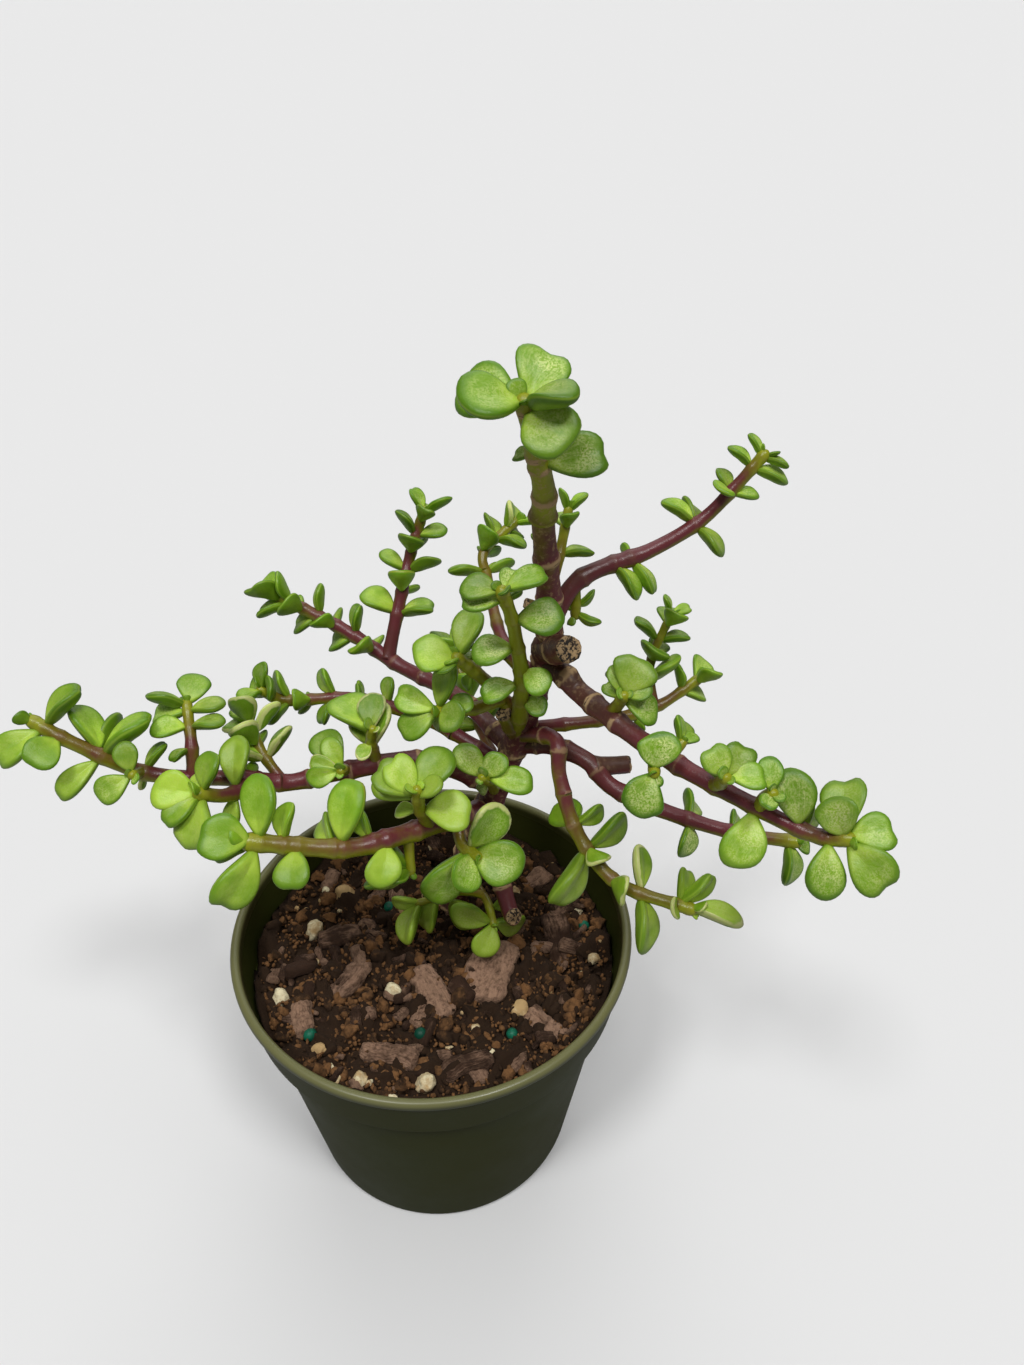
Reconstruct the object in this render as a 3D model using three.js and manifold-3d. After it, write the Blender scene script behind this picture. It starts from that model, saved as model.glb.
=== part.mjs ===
// Variegated dwarf jade (elephant bush) grown as a small bonsai in a round nursery pot.
// Millimetres, +Z up. The origin is the middle of the pot's underside, and -Y is the front.
// The pot, the soil, the bare trunk and each leafy stem are separate closed solids.

import * as THREE from "three";
import { mergeVertices } from "three/addons/utils/BufferGeometryUtils.js";
import Module from "manifold-3d";

const wasm = await Module();
wasm.setup();

// The gap kept between neighbouring pieces, and how close two points are to count as one.
const GAP = 0.3;
const WELD = 1e-4;

// Pot: a 105 mm moulded pot, 80 mm high, with a rolled lip, a straight rim band and a tapered body.
const POT_SIDES = 36;
const POT_HEIGHT = 80;
const LIP_RADIUS = 52.5;
const LIP_WIDTH = 2.4;
const LIP_DEPTH = 2.8;
const LIP_ROUND = 0.8;
const BAND_TOP_RADIUS = 51.7;
const BAND_LOW_RADIUS = 49.7;
const BAND_LOW_Z = 64.5;
const BODY_TOP_RADIUS = 47;
const BODY_LOW_RADIUS = 38.1;
const BASE_ROUND = 2.6;
const WALL = 1.3;
const FLOOR = 1.8;
const DRAINS = 6;
const DRAIN_RADIUS = 4;
const DRAIN_CIRCLE = 29;

// Soil: a bark and perlite mix that fills the pot to a few millimetres above the ledge.
const SOIL_TOP = 66;
const SOIL_RINGS = [41, 28, 14];
const SOIL_WAVE = 1.2;
// Bark chips that lie half sunk: [x, y, degrees turned, long, wide].
const BARK = [
  [15, -6, 70, 20, 13], [34, 5, 100, 17, 7], [0, -12, 120, 18, 8], [-10, -31, 165, 15, 6],
  [-22, -8, 60, 14, 7], [10, -34, 20, 13, 6], [-33, -20, 110, 12, 6], [30, -22, 150, 14, 6],
  [-27, 6, 20, 13, 6], [-16, 30, 70, 14, 7], [27, 26, 40, 12, 6],
];
const BARK_THICK = 3.6;
// Perlite crumbs: [x, y, radius].
const PERLITE = [
  [-34, 8, 2.6], [-27, 21, 3.2], [-39.5, -14, 2.6], [0, -38.5, 2.6], [-16, -38, 2.3], [23, -18, 2],
  [43, -2, 1.9], [-10, -13, 2.4], [-27, -29.5, 2], [38, 16, 1.9], [-3, 40, 2],
];

// Trunk foot: it stands in a plain hole in the soil.
const FOOT_X = 4;
const FOOT_Y = 20;
const FOOT_Z = 40;

// Leaf: an egg-shaped fleshy blade, as a share of its own length.
const LEAF_SIDES = 8;
const LEAF_HALF_WIDTH = 0.47;
const LEAF_HALF_THICKNESS = 0.14;
const LEAF_NARROWING = 0.8;
const LEAF_CUP = 0.1;
const LEAF_ARCH = 0.1;
const BROAD_JITTER = 0.24;
const OPEN_LOW = 72;
const OPEN_TIP = 42;
const OPEN_JITTER = 24;
const TIP_LIFT = 0.14;
// Leaves turn their faces towards the light, which has come from the front and above.
const LIGHT = new THREE.Vector3(0, -0.55, 0.83);
const LIGHT_PULL = 0.6;
const TURN_JITTER = 26;
const TWIST_JITTER = 44;
const SIZE_JITTER = 0.24;
// Leaves set by hand twist by this share of the others' twist.
const SET_TWIST_SHARE = 0.4;

// Stems: five-sided, swollen just below each pair of leaves.
const STEM_SIDES = 5;
const TRUNK_SIDES = 8;
const NODE_SWELL = 1.16;
const MIDDLE_WAIST = 0.94;
const CROWDING = 1.35;
const TIP_INSET = 0.8;
const MIDDLE_RING_FROM = 2;
const SWELL_BELOW = 1;
const BARE_STEP = 7;

// The trunk and its cut side stubs. A route is the few points that a stem passes, after its root.
const TRUNK = {
  name: "trunk",
  route: [[FOOT_X, FOOT_Y, FOOT_Z], [4, 20, 66], [13, 17, 100], [22, 14, 131], [29, 8, 164], [27, -1, 200]],
  thick: 9,
  thin: 4.8,
  steps: 14,
};
const STUBS = [
  { at: 126, route: [[33, -2, 169]], thick: 6.4, thin: 6.2 },
  { at: 95, route: [[19, 9, 143]], thick: 4.2, thin: 4 },
  { at: 58, route: [[16, 10, 94], [20.5, 0, 84], [21.5, -2, 84.5]], thick: 4.8, thin: 4.6 },
  { at: 114, route: [[20, 12, 158]], thick: 3.4, thin: 3.2 },
  { at: 138, route: [[24, 5, 176]], thick: 2.8, thin: 2.6 },
];

// Leafy stems. "from" and "at" say which stem it grows on and how many millimetres along, and
// "thick" and "thin" are its diameters at root and tip. A side shoot that shares its parent's solid
// has "with". Stems that stand in full view have their leaves in "set", one by one:
// [millimetres along the stem, degrees round it, degrees from it, length, breadth], and on some the
// degrees that the leaf rolls about its own length, which a seeded draw gives to the rest.
// The others grow opposite pairs by rule: "bare" is their leafless length, "pairs" counts the leaf
// pairs, "leaf" and "small" are the leaf lengths at the low and the tip pairs, and "turn" is the
// angle of the lowest pair round the stem.
const STEMS = [
  { name: "leader", from: "trunk", at: 165, route: [[27, -4, 207], [25, -8, 217], [23, -12, 227]],
    thick: 5, thin: 3,
    set: [
      [28, -120, 95, 10.5, 1.3, 10], [17, 30, 105, 3.5, 0.9], [30, 35, 85, 12, 1.1, -20],
      [14, -175, 80, 12, 0.9, 25], [30, 125, 75, 10.5, 1.2, 15], [29, 0, 55, 11.5, 1.15, 0],
      [29, 175, 90, 11, 0.8, -20], [28, 160, 135, 9, 0.8, -20],
    ] },
  { name: "front_top", from: "trunk", at: 95,
    route: [[23, 6, 149], [23, 3, 160], [22, 0, 169], [21, -4, 178], [19, -8, 187]], thick: 4.2,
    thin: 2.6,
    set: [
      [19, -165, 70, 5.5, 1.1], [25, 5, 85, 9, 0.8], [30, -165, 85, 7, 1.1], [38, -15, 75, 9, 1.05],
      [38, 155, 105, 12, 0.9], [49, -170, 85, 9.5, 1.1], [56, 0, 75, 8.5, 0.8], [56, 105, 135, 7, 0.9],
      [59, 20, 70, 7.5, 1], [59, 115, 90, 5.5, 0.9], [59, 160, 85, 9, 0.8],
    ] },
  { name: "right_limb", from: "trunk", at: 122,
    route: [[33, 3, 158], [36, 0, 156], [43, -10, 156], [51, -19, 155], [60, -28, 155],
      [77, -40, 153], [84, -44, 155]],
    thick: 5.4, thin: 2.8,
    set: [
      [60, -40, 75, 11.5, 0.95, 45], [69, 105, 110, 11, 0.9, -55], [70, 180, 100, 8, 0.9],
      [74, 170, 75, 5, 0.9], [75, -45, 95, 10.5, 0.95, 30], [78, 95, 100, 8, 1.2, -65],
      [79, 170, 25, 8.5, 1.05, -35], [79, -70, 45, 11.5, 1, 55], [79, 130, 100, 11, 0.95, -60],
      [77, 170, 100, 6.5, 0.9],
    ] },
  { name: "right_limb_spur", with: "right_limb", from: "right_limb", at: 33,
    route: [[49, -25, 158], [49, -29, 158]], thick: 2.6, thin: 2.2,
    set: [
      [13, 95, 115, 7.5, 1.5], [13, -50, 45, 9, 1.3],
    ] },
  { name: "right_limb_side", with: "right_limb", from: "right_limb", at: 61,
    route: [[69, -36, 158], [70, -38, 161]], thick: 2.6, thin: 2.2,
    set: [
      [7, 90, 70, 6.5, 0.9, -25], [7, -60, 50, 5, 0.9],
    ] },
  { name: "right_limb_bud", with: "right_limb", from: "right_limb", at: 40, route: [[56, -19, 158]],
    thick: 2.4, thin: 1.8, set: [[4, 150, 40, 5.5, 0.8], [4, -160, 45, 6, 1.2], [4, -90, 40, 4.5, 0.8]] },
  { name: "right_limb_rosette", from: "right_limb", at: 22, route: [[43, -9, 159], [44, -13, 165]],
    thick: 3.2, thin: 2.2,
    set: [
      [8, 45, 100, 4.5, 1], [8, -155, 95, 7.5, 1.1], [11, 60, 70, 6.5, 0.75], [11, 110, 60, 8.5, 1.35],
      [11, 170, 60, 5.5, 0.9],
    ] },
  { name: "right_limb_crown", from: "right_limb", at: 51, route: [[61, -33, 159], [61, -37, 164]],
    thick: 2.8, thin: 2.2,
    set: [
      [7, 80, 125, 5, 0.9], [12, 60, 60, 6.5, 1.15], [12, 120, 75, 7, 1.1], [12, -170, 75, 7, 1],
    ] },
  { name: "right_lower", from: "trunk", at: 92,
    route: [[30, 12, 131], [39, 6, 131], [45, 1, 127], [57, -4, 124], [72, -11, 124], [85, -16, 126]],
    thick: 5, thin: 3,
    set: [
      [48, -55, 80, 7.5, 1.1], [48, -170, 105, 9, 0.9], [58, 180, 95, 6, 0.9], [71, -60, 85, 9.5, 1],
    ] },
  { name: "right_lower_stub", with: "right_lower", from: "right_lower", at: 22, route: [[49, 7, 129]],
    thick: 4.8, thin: 4.6, set: [] },
  { name: "front_right", from: "trunk", at: 96,
    route: [[31, 3, 140], [32, -3, 134], [36, -11, 124], [45, -20, 117], [61, -27, 116]], thick: 4,
    thin: 2.8,
    set: [
      [36, -110, 135, 7.5, 1.3], [36, 155, 100, 7, 0.9], [42, 95, 45, 6, 1.1], [42, 155, 95, 11, 0.8],
      [42, -30, 60, 14.5, 0.75], [51, 35, 30, 7, 1.3], [58, 140, 110, 10, 0.75],
      [58, -55, 65, 12.5, 0.75], [66, 30, 80, 4.5, 1.3], [67, 150, 90, 8, 0.9], [67, 135, 55, 10, 0.7],
      [70, -160, 15, 12, 0.6, -55],
    ] },
  { name: "back_right", from: "trunk", at: 134,
    route: [[36, 12, 178], [51, 17, 182], [62, 21, 187], [69, 23, 194], [75, 25, 201]], thick: 4.4,
    thin: 2.4,
    set: [
      [20, -35, 75, 8, 0.9], [24, -50, 75, 8.5, 0.7], [24, -165, 80, 6, 0.8], [40, 130, 105, 8, 0.8],
      [40, -45, 80, 8, 0.9], [40, 180, 70, 8, 1], [50, 60, 95, 5, 1.3], [50, 150, 65, 5.5, 1],
      [50, -55, 50, 5.5, 0.9], [57, 130, 85, 6, 0.9], [57, -60, 70, 7.5, 0.9], [62, 140, 65, 5, 0.8],
      [62, -60, 65, 5.5, 0.7],
    ] },
  { name: "shoulder", with: "back_right", from: "back_right", at: 10,
    route: [[35, 12, 173], [35, 11, 169]], thick: 2.6, thin: 2,
    set: [
      [6, 25, 120, 5, 0.9], [8, 150, 140, 6, 1], [8, -10, 65, 5.5, 0.85],
    ] },
  { name: "leader_back", from: "trunk", at: 144, route: [[31, 11, 184], [33, 16, 193]], thick: 2.8,
    thin: 1.8, bare: 9, pairs: 3, leaf: 7, small: 5, turn: 0 },
  { name: "right_back", from: "trunk", at: 98, route: [[42, 14, 137], [56, 19, 137], [67, 24, 142]],
    thick: 3.4, thin: 2.4, bare: 28, pairs: 4, leaf: 5, small: 8, turn: 110 },
  { name: "right_back_shoot", from: "right_back", at: 34, route: [[55, 25, 146], [60, 31, 157]],
    thick: 2.6, thin: 1.8, bare: 7, pairs: 5, leaf: 10, small: 5.5, turn: 10 },
  { name: "far_left", from: "trunk", at: 76,
    route: [[-1, 13, 125], [-20, 8, 126], [-33, 5, 125], [-43, 2, 129], [-63, -1, 133],
      [-78, -2, 143], [-87, 0, 148]],
    thick: 5.4, thin: 3,
    set: [
      [66, 5, 135, 6, 0.9], [88, 50, 105, 7.5, 0.7], [88, -75, 95, 5, 0.9],
      [98, -120, 70, 12.5, 0.6, -40], [98, 75, 105, 14, 0.8, -20], [99, 40, 90, 12, 0.75, -15],
      [99, 25, 45, 12, 0.8, 90], [112, 55, 100, 12, 0.75, 10], [112, -140, 70, 12, 0.85, -45],
      [108, -170, 80, 8.5, 1.2, -70], [115, 25, 15, 5.5, 0.95, 75],
    ] },
  { name: "far_left_spur", with: "far_left", from: "far_left", at: 89, route: [[-64, -8, 139]],
    thick: 2.6, thin: 2.2, set: [[9, 80, 80, 7, 1], [9, -30, 95, 9, 0.95]] },
  { name: "far_left_crown", from: "far_left", at: 77, route: [[-54, 4, 138], [-56, 12, 144]], thick: 3.4,
    thin: 2.2,
    set: [
      [7, -45, 110, 5, 0.9], [12, -25, 85, 8, 0.95, -40], [18, 145, 20, 8, 1.25, 60],
      [16, 170, 90, 8.5, 0.8, 25], [16, -40, 80, 9.5, 0.85, -40], [18, -15, 70, 9, 0.9, 0],
      [12, -175, 95, 8.5, 0.95],
    ] },
  { name: "far_left_front", from: "far_left", at: 62, route: [[-44, -7, 132], [-49, -11, 136]], thick: 4,
    thin: 3,
    set: [
      [9, 70, 110, 12, 0.75], [9, -95, 80, 7, 0.8], [18, -130, 80, 12, 1.15], [18, 80, 80, 9.5, 0.9],
      [18, -55, 85, 11.5, 0.75], [19, 15, 100, 8, 1], [19, -90, 65, 9.5, 0.8], [19, -20, 35, 10, 1.1],
    ] },
  { name: "left_middle", from: "far_left", at: 56, route: [[-40, 10, 131], [-43, 16, 135]], thick: 2.8,
    thin: 2, bare: 7, pairs: 4, leaf: 10, small: 9, turn: 20 },
  { name: "left_crown", from: "far_left", at: 33, route: [[-13, 10, 133], [-12, 8, 139]], thick: 3.2,
    thin: 2.4,
    set: [
      [5, 125, 35, 11, 0.9], [5, 60, 50, 9, 0.95], [7, -65, 80, 5, 0.9], [11, 75, 95, 13, 1],
      [11, 105, 90, 9.5, 0.9],
    ] },
  { name: "left_low", from: "far_left", at: 41, route: [[-19, 3, 131], [-19, 0, 133]], thick: 2.8,
    thin: 2.2,
    set: [
      [5, 65, 80, 8, 0.8], [5, 60, 105, 11, 0.95], [9, 15, 90, 7.5, 0.7], [9, -20, 85, 8, 0.8],
    ] },
  { name: "left_upper", from: "trunk", at: 84,
    route: [[3, 24, 127], [-8, 26, 131], [-20, 27, 134], [-36, 26, 134], [-42, 25, 138]], thick: 3.8,
    thin: 2.6, bare: 34, pairs: 7, leaf: 7, small: 7.5, turn: 50 },
  { name: "back_left", from: "trunk", at: 90,
    route: [[8, 28, 133], [-9, 40, 135], [-23, 47, 141], [-41, 53, 148]], thick: 4.8, thin: 3, bare: 42,
    pairs: 8, leaf: 8, small: 9, turn: 60 },
  { name: "back_top", from: "back_left", at: 44, route: [[-9, 48, 147], [-6, 56, 158], [-2, 62, 169]],
    thick: 3.8, thin: 2.4, bare: 12, pairs: 7, leaf: 9, small: 7, turn: 10 },
  { name: "back_middle", from: "trunk", at: 116,
    route: [[19, 20, 156], [15, 40, 161], [14, 47, 165], [22, 54, 170]], thick: 3.2, thin: 2.2, bare: 37,
    pairs: 5, leaf: 9, small: 6.5, turn: 170 },
  { name: "back_low", from: "trunk", at: 80, route: [[10, 36, 125], [5, 50, 134]], thick: 3.2, thin: 2,
    bare: 16, pairs: 5, leaf: 10, small: 9, turn: 30 },
  { name: "left_front_top", from: "trunk", at: 100, route: [[18, 11, 147], [14, 6, 156], [9, 2, 164]],
    thick: 3.8, thin: 2.8,
    set: [
      [26, -35, 120, 4, 0.9], [29, 115, 115, 4, 0.9], [33, 120, 110, 5, 0.9], [33, -50, 50, 5.5, 0.9],
      [33, 15, 45, 9.5, 1.25], [33, 150, 80, 11, 0.85],
    ] },
  { name: "left_top", with: "left_front_top", from: "left_front_top", at: 10,
    route: [[12, 7, 146], [4, 1, 150]], thick: 3.2, thin: 2.6,
    set: [
      [16, 100, 110, 6.5, 0.9], [16, -65, 95, 5.5, 0.9], [18, 165, 90, 7, 1.3], [23, 0, 50, 10.5, 0.75],
      [23, 95, 95, 11, 0.75], [23, -70, 55, 10, 0.85],
    ] },
  { name: "left_front", from: "trunk", at: 67,
    route: [[7, 0, 118], [-5, -11, 123], [-17, -17, 125], [-37, -20, 130]], thick: 5.4, thin: 4,
    set: [
      [43, -145, 65, 9.5, 1, -65], [46, 35, 80, 7.5, 0.8], [53, 65, 95, 14.5, 0.8, 20],
      [55, 30, 80, 9, 0.9], [63, -165, 85, 9.5, 1, -40], [66, 50, 85, 8, 0.9], [71, 60, 85, 14, 0.8, 30],
      [72, -130, 70, 15.5, 0.8, -90], [74, 80, 15, 11, 1.15, 135], [74, -70, 50, 9, 0.9, 40],
    ] },
  { name: "left_front_spur", with: "left_front", from: "left_front", at: 37, route: [[-3, -12, 112]],
    thick: 2.8, thin: 2.2, set: [[10, 165, 140, 9, 1.4], [10, -135, 90, 9, 1.3], [10, 175, 60, 12, 0.85]] },
  { name: "centre_front", from: "left_front", at: 31, route: [[0, -10, 131], [0, -12, 138]], thick: 3.4,
    thin: 2.6,
    set: [
      [9, -10, 110, 6, 0.8], [9, -170, 80, 12, 1], [14, 0, 80, 10.5, 1], [15, 35, 50, 10.5, 1],
      [15, 35, 90, 11.5, 0.95], [15, 125, 60, 12, 1], [15, 180, 35, 8, 0.9],
    ] },
  { name: "centre_back", from: "trunk", at: 74, route: [[16, 6, 124], [14, 0, 131]], thick: 3.2,
    thin: 2.4,
    set: [
      [18, -30, 125, 4, 0.9], [22, -165, 95, 11, 0.8], [22, 70, 55, 10, 0.85], [22, 140, 65, 7, 1.1],
    ] },
  { name: "front_low", from: "left_front", at: 21, route: [[9, -5, 114], [13, -9, 114]], thick: 3.4,
    thin: 2.6,
    set: [
      [9, 130, 80, 13, 1], [9, -25, 100, 15, 0.9], [10, -150, 20, 13, 1.1], [10, -15, 65, 9.5, 1.2],
      [10, 180, 90, 5, 0.9],
    ] },
  { name: "soil_shoot", from: "trunk", at: 40, route: [[14, 7, 81], [16, 0, 79]], thick: 2.8, thin: 2,
    set: [
      [17, 175, 105, 5.5, 1.1], [20, 5, 120, 12, 1], [21, 15, 105, 12, 0.85], [21, -40, 35, 9, 1.15],
      [21, 165, 90, 10, 0.95],
    ] },
  { name: "soil_shoot_left", with: "soil_shoot", from: "soil_shoot", at: 12,
    route: [[7, 6, 85], [-4, 3, 84]], thick: 2.2, thin: 1.8,
    set: [
      [14, -120, 55, 9.5, 1.1], [15, 5, 145, 4.5, 0.9], [20, 45, 15, 7.5, 0.9], [20, -140, 50, 11, 0.95],
    ] },
];

// How a leaf bends clear of what is in its way, in the order tried: shares of its size, then
// degrees of opening, then degrees round the stem. A leaf with no free place has dropped.
const SHRINKS = [1, 0.86, 0.72];
const OPENINGS = [0, -16, 14, -30];
const SWINGS = [0, 14, -14, 28, -28, 42, -42];
// Reach of the small balls that stand for a leaf or a stem there, as shares of leaf length.
const BALL_SHARE = 0.13;
const OWN_STEM_CLOSENESS = 0.62;
const LEAF_FLOOR_Z = 71;

const COLOURS = {
  pot: new THREE.MeshStandardMaterial({ color: 0x2c3622, roughness: 0.5, metalness: 0 }),
  soil: new THREE.MeshStandardMaterial({ color: 0x3b2a20, roughness: 0.95, metalness: 0 }),
  bark: new THREE.MeshStandardMaterial({ color: 0x553a33, roughness: 0.75, metalness: 0 }),
  leaf: new THREE.MeshStandardMaterial({ color: 0x8fbb4a, roughness: 0.45, metalness: 0 }),
};

const radians = THREE.MathUtils.degToRad;
const vector = ([x, y, z]) => new THREE.Vector3(x, y, z);

// A repeatable draw from 0 to 1 for a whole number.
function draw(number) {
  const wide = Math.sin(number * 12.9898) * 43758.5453;
  return wide - Math.floor(wide);
}

// A three.js geometry as a manifold solid, with its shared corners joined.
function solidFrom(geometry) {
  geometry.deleteAttribute("normal");
  geometry.deleteAttribute("uv");
  const merged = mergeVertices(geometry, WELD);
  const mesh = new wasm.Mesh({
    numProp: 3,
    vertProperties: merged.attributes.position.array,
    triVerts: new Uint32Array(merged.index.array),
  });
  return new wasm.Manifold(mesh);
}

// A manifold solid as a named mesh.
function meshFrom(name, solid, material) {
  const { numProp, numVert, vertProperties, triVerts } = solid.getMesh();
  const corners = new Float32Array(numVert * 3);
  for (let i = 0; i < numVert; i++) {
    corners.set(vertProperties.subarray(i * numProp, i * numProp + 3), i * 3);
  }
  const geometry = new THREE.BufferGeometry();
  geometry.setAttribute("position", new THREE.BufferAttribute(corners, 3));
  geometry.setIndex(new THREE.BufferAttribute(triVerts, 1));
  const mesh = new THREE.Mesh(geometry, material);
  mesh.name = name;
  return mesh;
}

// Moves every corner of a geometry by a rule.
function reshape(geometry, rule) {
  const corners = geometry.attributes.position;
  for (let i = 0; i < corners.count; i++) {
    const moved = rule(new THREE.Vector3().fromBufferAttribute(corners, i));
    corners.setXYZ(i, moved.x, moved.y, moved.z);
  }
  return geometry;
}

// A solid turned from a profile of [radius, height] points, with the axis upright.
function turned(profile, sides) {
  const points = profile.map(([radius, height]) => new THREE.Vector2(radius, height));
  return new THREE.LatheGeometry(points, sides).rotateX(Math.PI / 2);
}

function potSolid() {
  const outside = [
    [0, 0],
    [BODY_LOW_RADIUS - BASE_ROUND, 0],
    [BODY_LOW_RADIUS - 0.3 * BASE_ROUND, 0.3 * BASE_ROUND],
    [BODY_LOW_RADIUS, BASE_ROUND],
    [BODY_TOP_RADIUS, BAND_LOW_Z - 1],
    [BAND_LOW_RADIUS, BAND_LOW_Z],
    [BAND_TOP_RADIUS, POT_HEIGHT - LIP_DEPTH],
    [LIP_RADIUS, POT_HEIGHT - LIP_DEPTH + LIP_ROUND],
    [LIP_RADIUS, POT_HEIGHT - LIP_ROUND],
    [LIP_RADIUS - LIP_ROUND, POT_HEIGHT],
  ];
  const inside = [
    [LIP_RADIUS - LIP_WIDTH, POT_HEIGHT],
    [BAND_LOW_RADIUS - WALL, BAND_LOW_Z + 0.4],
    [BODY_TOP_RADIUS - WALL, BAND_LOW_Z - 1],
    [BODY_LOW_RADIUS - WALL, BASE_ROUND + FLOOR],
    [BODY_LOW_RADIUS - BASE_ROUND, FLOOR],
    [0, FLOOR],
  ];
  let pot = solidFrom(turned([...outside, ...inside], POT_SIDES));
  for (let i = 0; i < DRAINS; i++) {
    const angle = ((i + 0.5) / DRAINS) * 2 * Math.PI;
    const drain = new THREE.CylinderGeometry(DRAIN_RADIUS, DRAIN_RADIUS, 4 * FLOOR, 10);
    drain.rotateX(Math.PI / 2).translate(DRAIN_CIRCLE * Math.cos(angle), DRAIN_CIRCLE * Math.sin(angle), 0);
    pot = pot.subtract(solidFrom(drain));
  }
  return pot;
}

// Height of the soil's uneven surface, level where it meets the pot.
function soilHeight(x, y) {
  const edge = BAND_LOW_RADIUS - WALL - GAP;
  const share = Math.min(1, Math.hypot(x, y) / edge);
  const wave = Math.sin(0.31 * x + 1.3) * Math.cos(0.27 * y - 0.6) + 0.5 * Math.sin(0.73 * x - 0.61 * y);
  return SOIL_TOP + SOIL_WAVE * wave * (1 - share ** 4);
}

// A lump of the mix, its middle raised by "lift" from the surface at (x, y).
function lump(geometry, x, y, degrees, lift) {
  geometry.rotateZ(radians(degrees)).translate(x, y, soilHeight(x, y) + lift);
  return solidFrom(geometry);
}

function soilSolid(trunk) {
  const edge = BAND_LOW_RADIUS - WALL - GAP;
  const profile = [
    [0, FLOOR + GAP],
    [BODY_LOW_RADIUS - BASE_ROUND - GAP, FLOOR + GAP],
    [BODY_LOW_RADIUS - WALL - GAP, BASE_ROUND + FLOOR + GAP],
    [BODY_TOP_RADIUS - WALL - GAP, BAND_LOW_Z - 1 + GAP],
    [edge, BAND_LOW_Z + 0.4 + GAP],
    [edge, SOIL_TOP],
    ...SOIL_RINGS.map((radius) => [radius, SOIL_TOP]),
    [0, SOIL_TOP],
  ];
  const bed = reshape(turned(profile, POT_SIDES), (corner) => {
    if (corner.z > SOIL_TOP - 0.01) corner.z = soilHeight(corner.x, corner.y);
    return corner;
  });
  let soil = solidFrom(bed);
  for (const [x, y, degrees, long, wide] of BARK) {
    const chip = new THREE.BoxGeometry(long, wide, BARK_THICK).rotateY(radians(0.05 * degrees));
    soil = soil.add(lump(chip, x, y, degrees, -0.1 * BARK_THICK));
  }
  for (const [x, y, radius] of PERLITE) {
    const crumb = new THREE.IcosahedronGeometry(radius, 0);
    soil = soil.add(lump(crumb, x, y, 40 * x, 0.3 * radius));
  }
  const hole = new THREE.CylinderGeometry(0.5 * TRUNK.thick + 1, 0.5 * TRUNK.thick + 1, POT_HEIGHT, 12);
  hole.rotateX(Math.PI / 2).translate(FOOT_X, FOOT_Y, FOOT_Z - GAP + 0.5 * POT_HEIGHT);
  return soil.subtract(solidFrom(hole)).subtract(tubeSolid(trunk, GAP));
}

// The curve a stem follows, with its direction and two square side directions at any share of it.
function stemPath(stem, parent) {
  const root = parent ? parent.path.point(stem.at / parent.path.length) : [];
  const points = [...(parent ? [root] : []), ...stem.route.map(vector)];
  const curve = new THREE.CatmullRomCurve3(points, false, "catmullrom", 0.5);
  const chord = points.at(-1).clone().sub(points[0]).normalize();
  const upright = Math.abs(chord.z) > 0.7 ? new THREE.Vector3(0, 1, 0) : new THREE.Vector3(0, 0, 1);
  return {
    length: curve.getLength(),
    point: (share) => curve.getPointAt(THREE.MathUtils.clamp(share, 0, 1)),
    axes(share) {
      const along = curve.getTangentAt(THREE.MathUtils.clamp(share, 0, 1));
      const side = new THREE.Vector3().crossVectors(along, upright).normalize();
      const over = new THREE.Vector3().crossVectors(side, along);
      return { along, side, over };
    },
  };
}

// Half the stem's thickness at a share of its length.
function stemRadius(stem, share) {
  return 0.5 * (stem.thick + (stem.thin - stem.thick) * share);
}

// The share of a stem's length for a distance along it, kept back from its very end.
function shareAt(stem, at) {
  return Math.min(at, stem.path.length - TIP_INSET) / stem.path.length;
}

// Shares of a stem's length where its leaves sit: set by hand, or closer together towards the tip.
function nodeShares(stem) {
  if (stem.set) return [...new Set(stem.set.map(([at]) => shareAt(stem, at)))].sort((a, b) => a - b);
  const bare = stem.bare / stem.path.length;
  const leafy = shareAt(stem, stem.path.length) - bare;
  const steps = Array.from({ length: stem.pairs }, (_, k) => pairStep(stem, k));
  return steps.map((step) => bare + leafy * (1 - (1 - step) ** CROWDING));
}

// How far a pair is from the lowest pair to the tip pair, from 0 to 1.
function pairStep(stem, k) {
  return stem.pairs > 1 ? k / (stem.pairs - 1) : 1;
}

function isLeafy(stem) {
  return Boolean(stem.pairs || stem.set?.length);
}

// The rings of a stem's tube: [share of its length, radius].
function stemRings(stem) {
  if (!isLeafy(stem)) {
    const steps = stem.steps ?? 2;
    return Array.from({ length: steps + 1 }, (_, i) => [i / steps, stemRadius(stem, i / steps)]);
  }
  const rings = [];
  const nodes = nodeShares(stem);
  const bareSteps = Math.max(1, Math.round((nodes[0] * stem.path.length) / BARE_STEP));
  for (let i = 0; i < bareSteps; i++) {
    const share = (i / bareSteps) * nodes[0];
    rings.push([share, stemRadius(stem, share)]);
  }
  nodes.forEach((share, k) => {
    const middle = 0.5 * (nodes[k - 1] + share);
    if ((share - middle) * stem.path.length > MIDDLE_RING_FROM) {
      rings.push([middle, MIDDLE_WAIST * stemRadius(stem, middle)]);
    }
    rings.push([share - SWELL_BELOW / stem.path.length, NODE_SWELL * stemRadius(stem, share)]);
  });
  rings.push([1, 0.8 * stemRadius(stem, 1)]);
  return rings;
}

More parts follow.
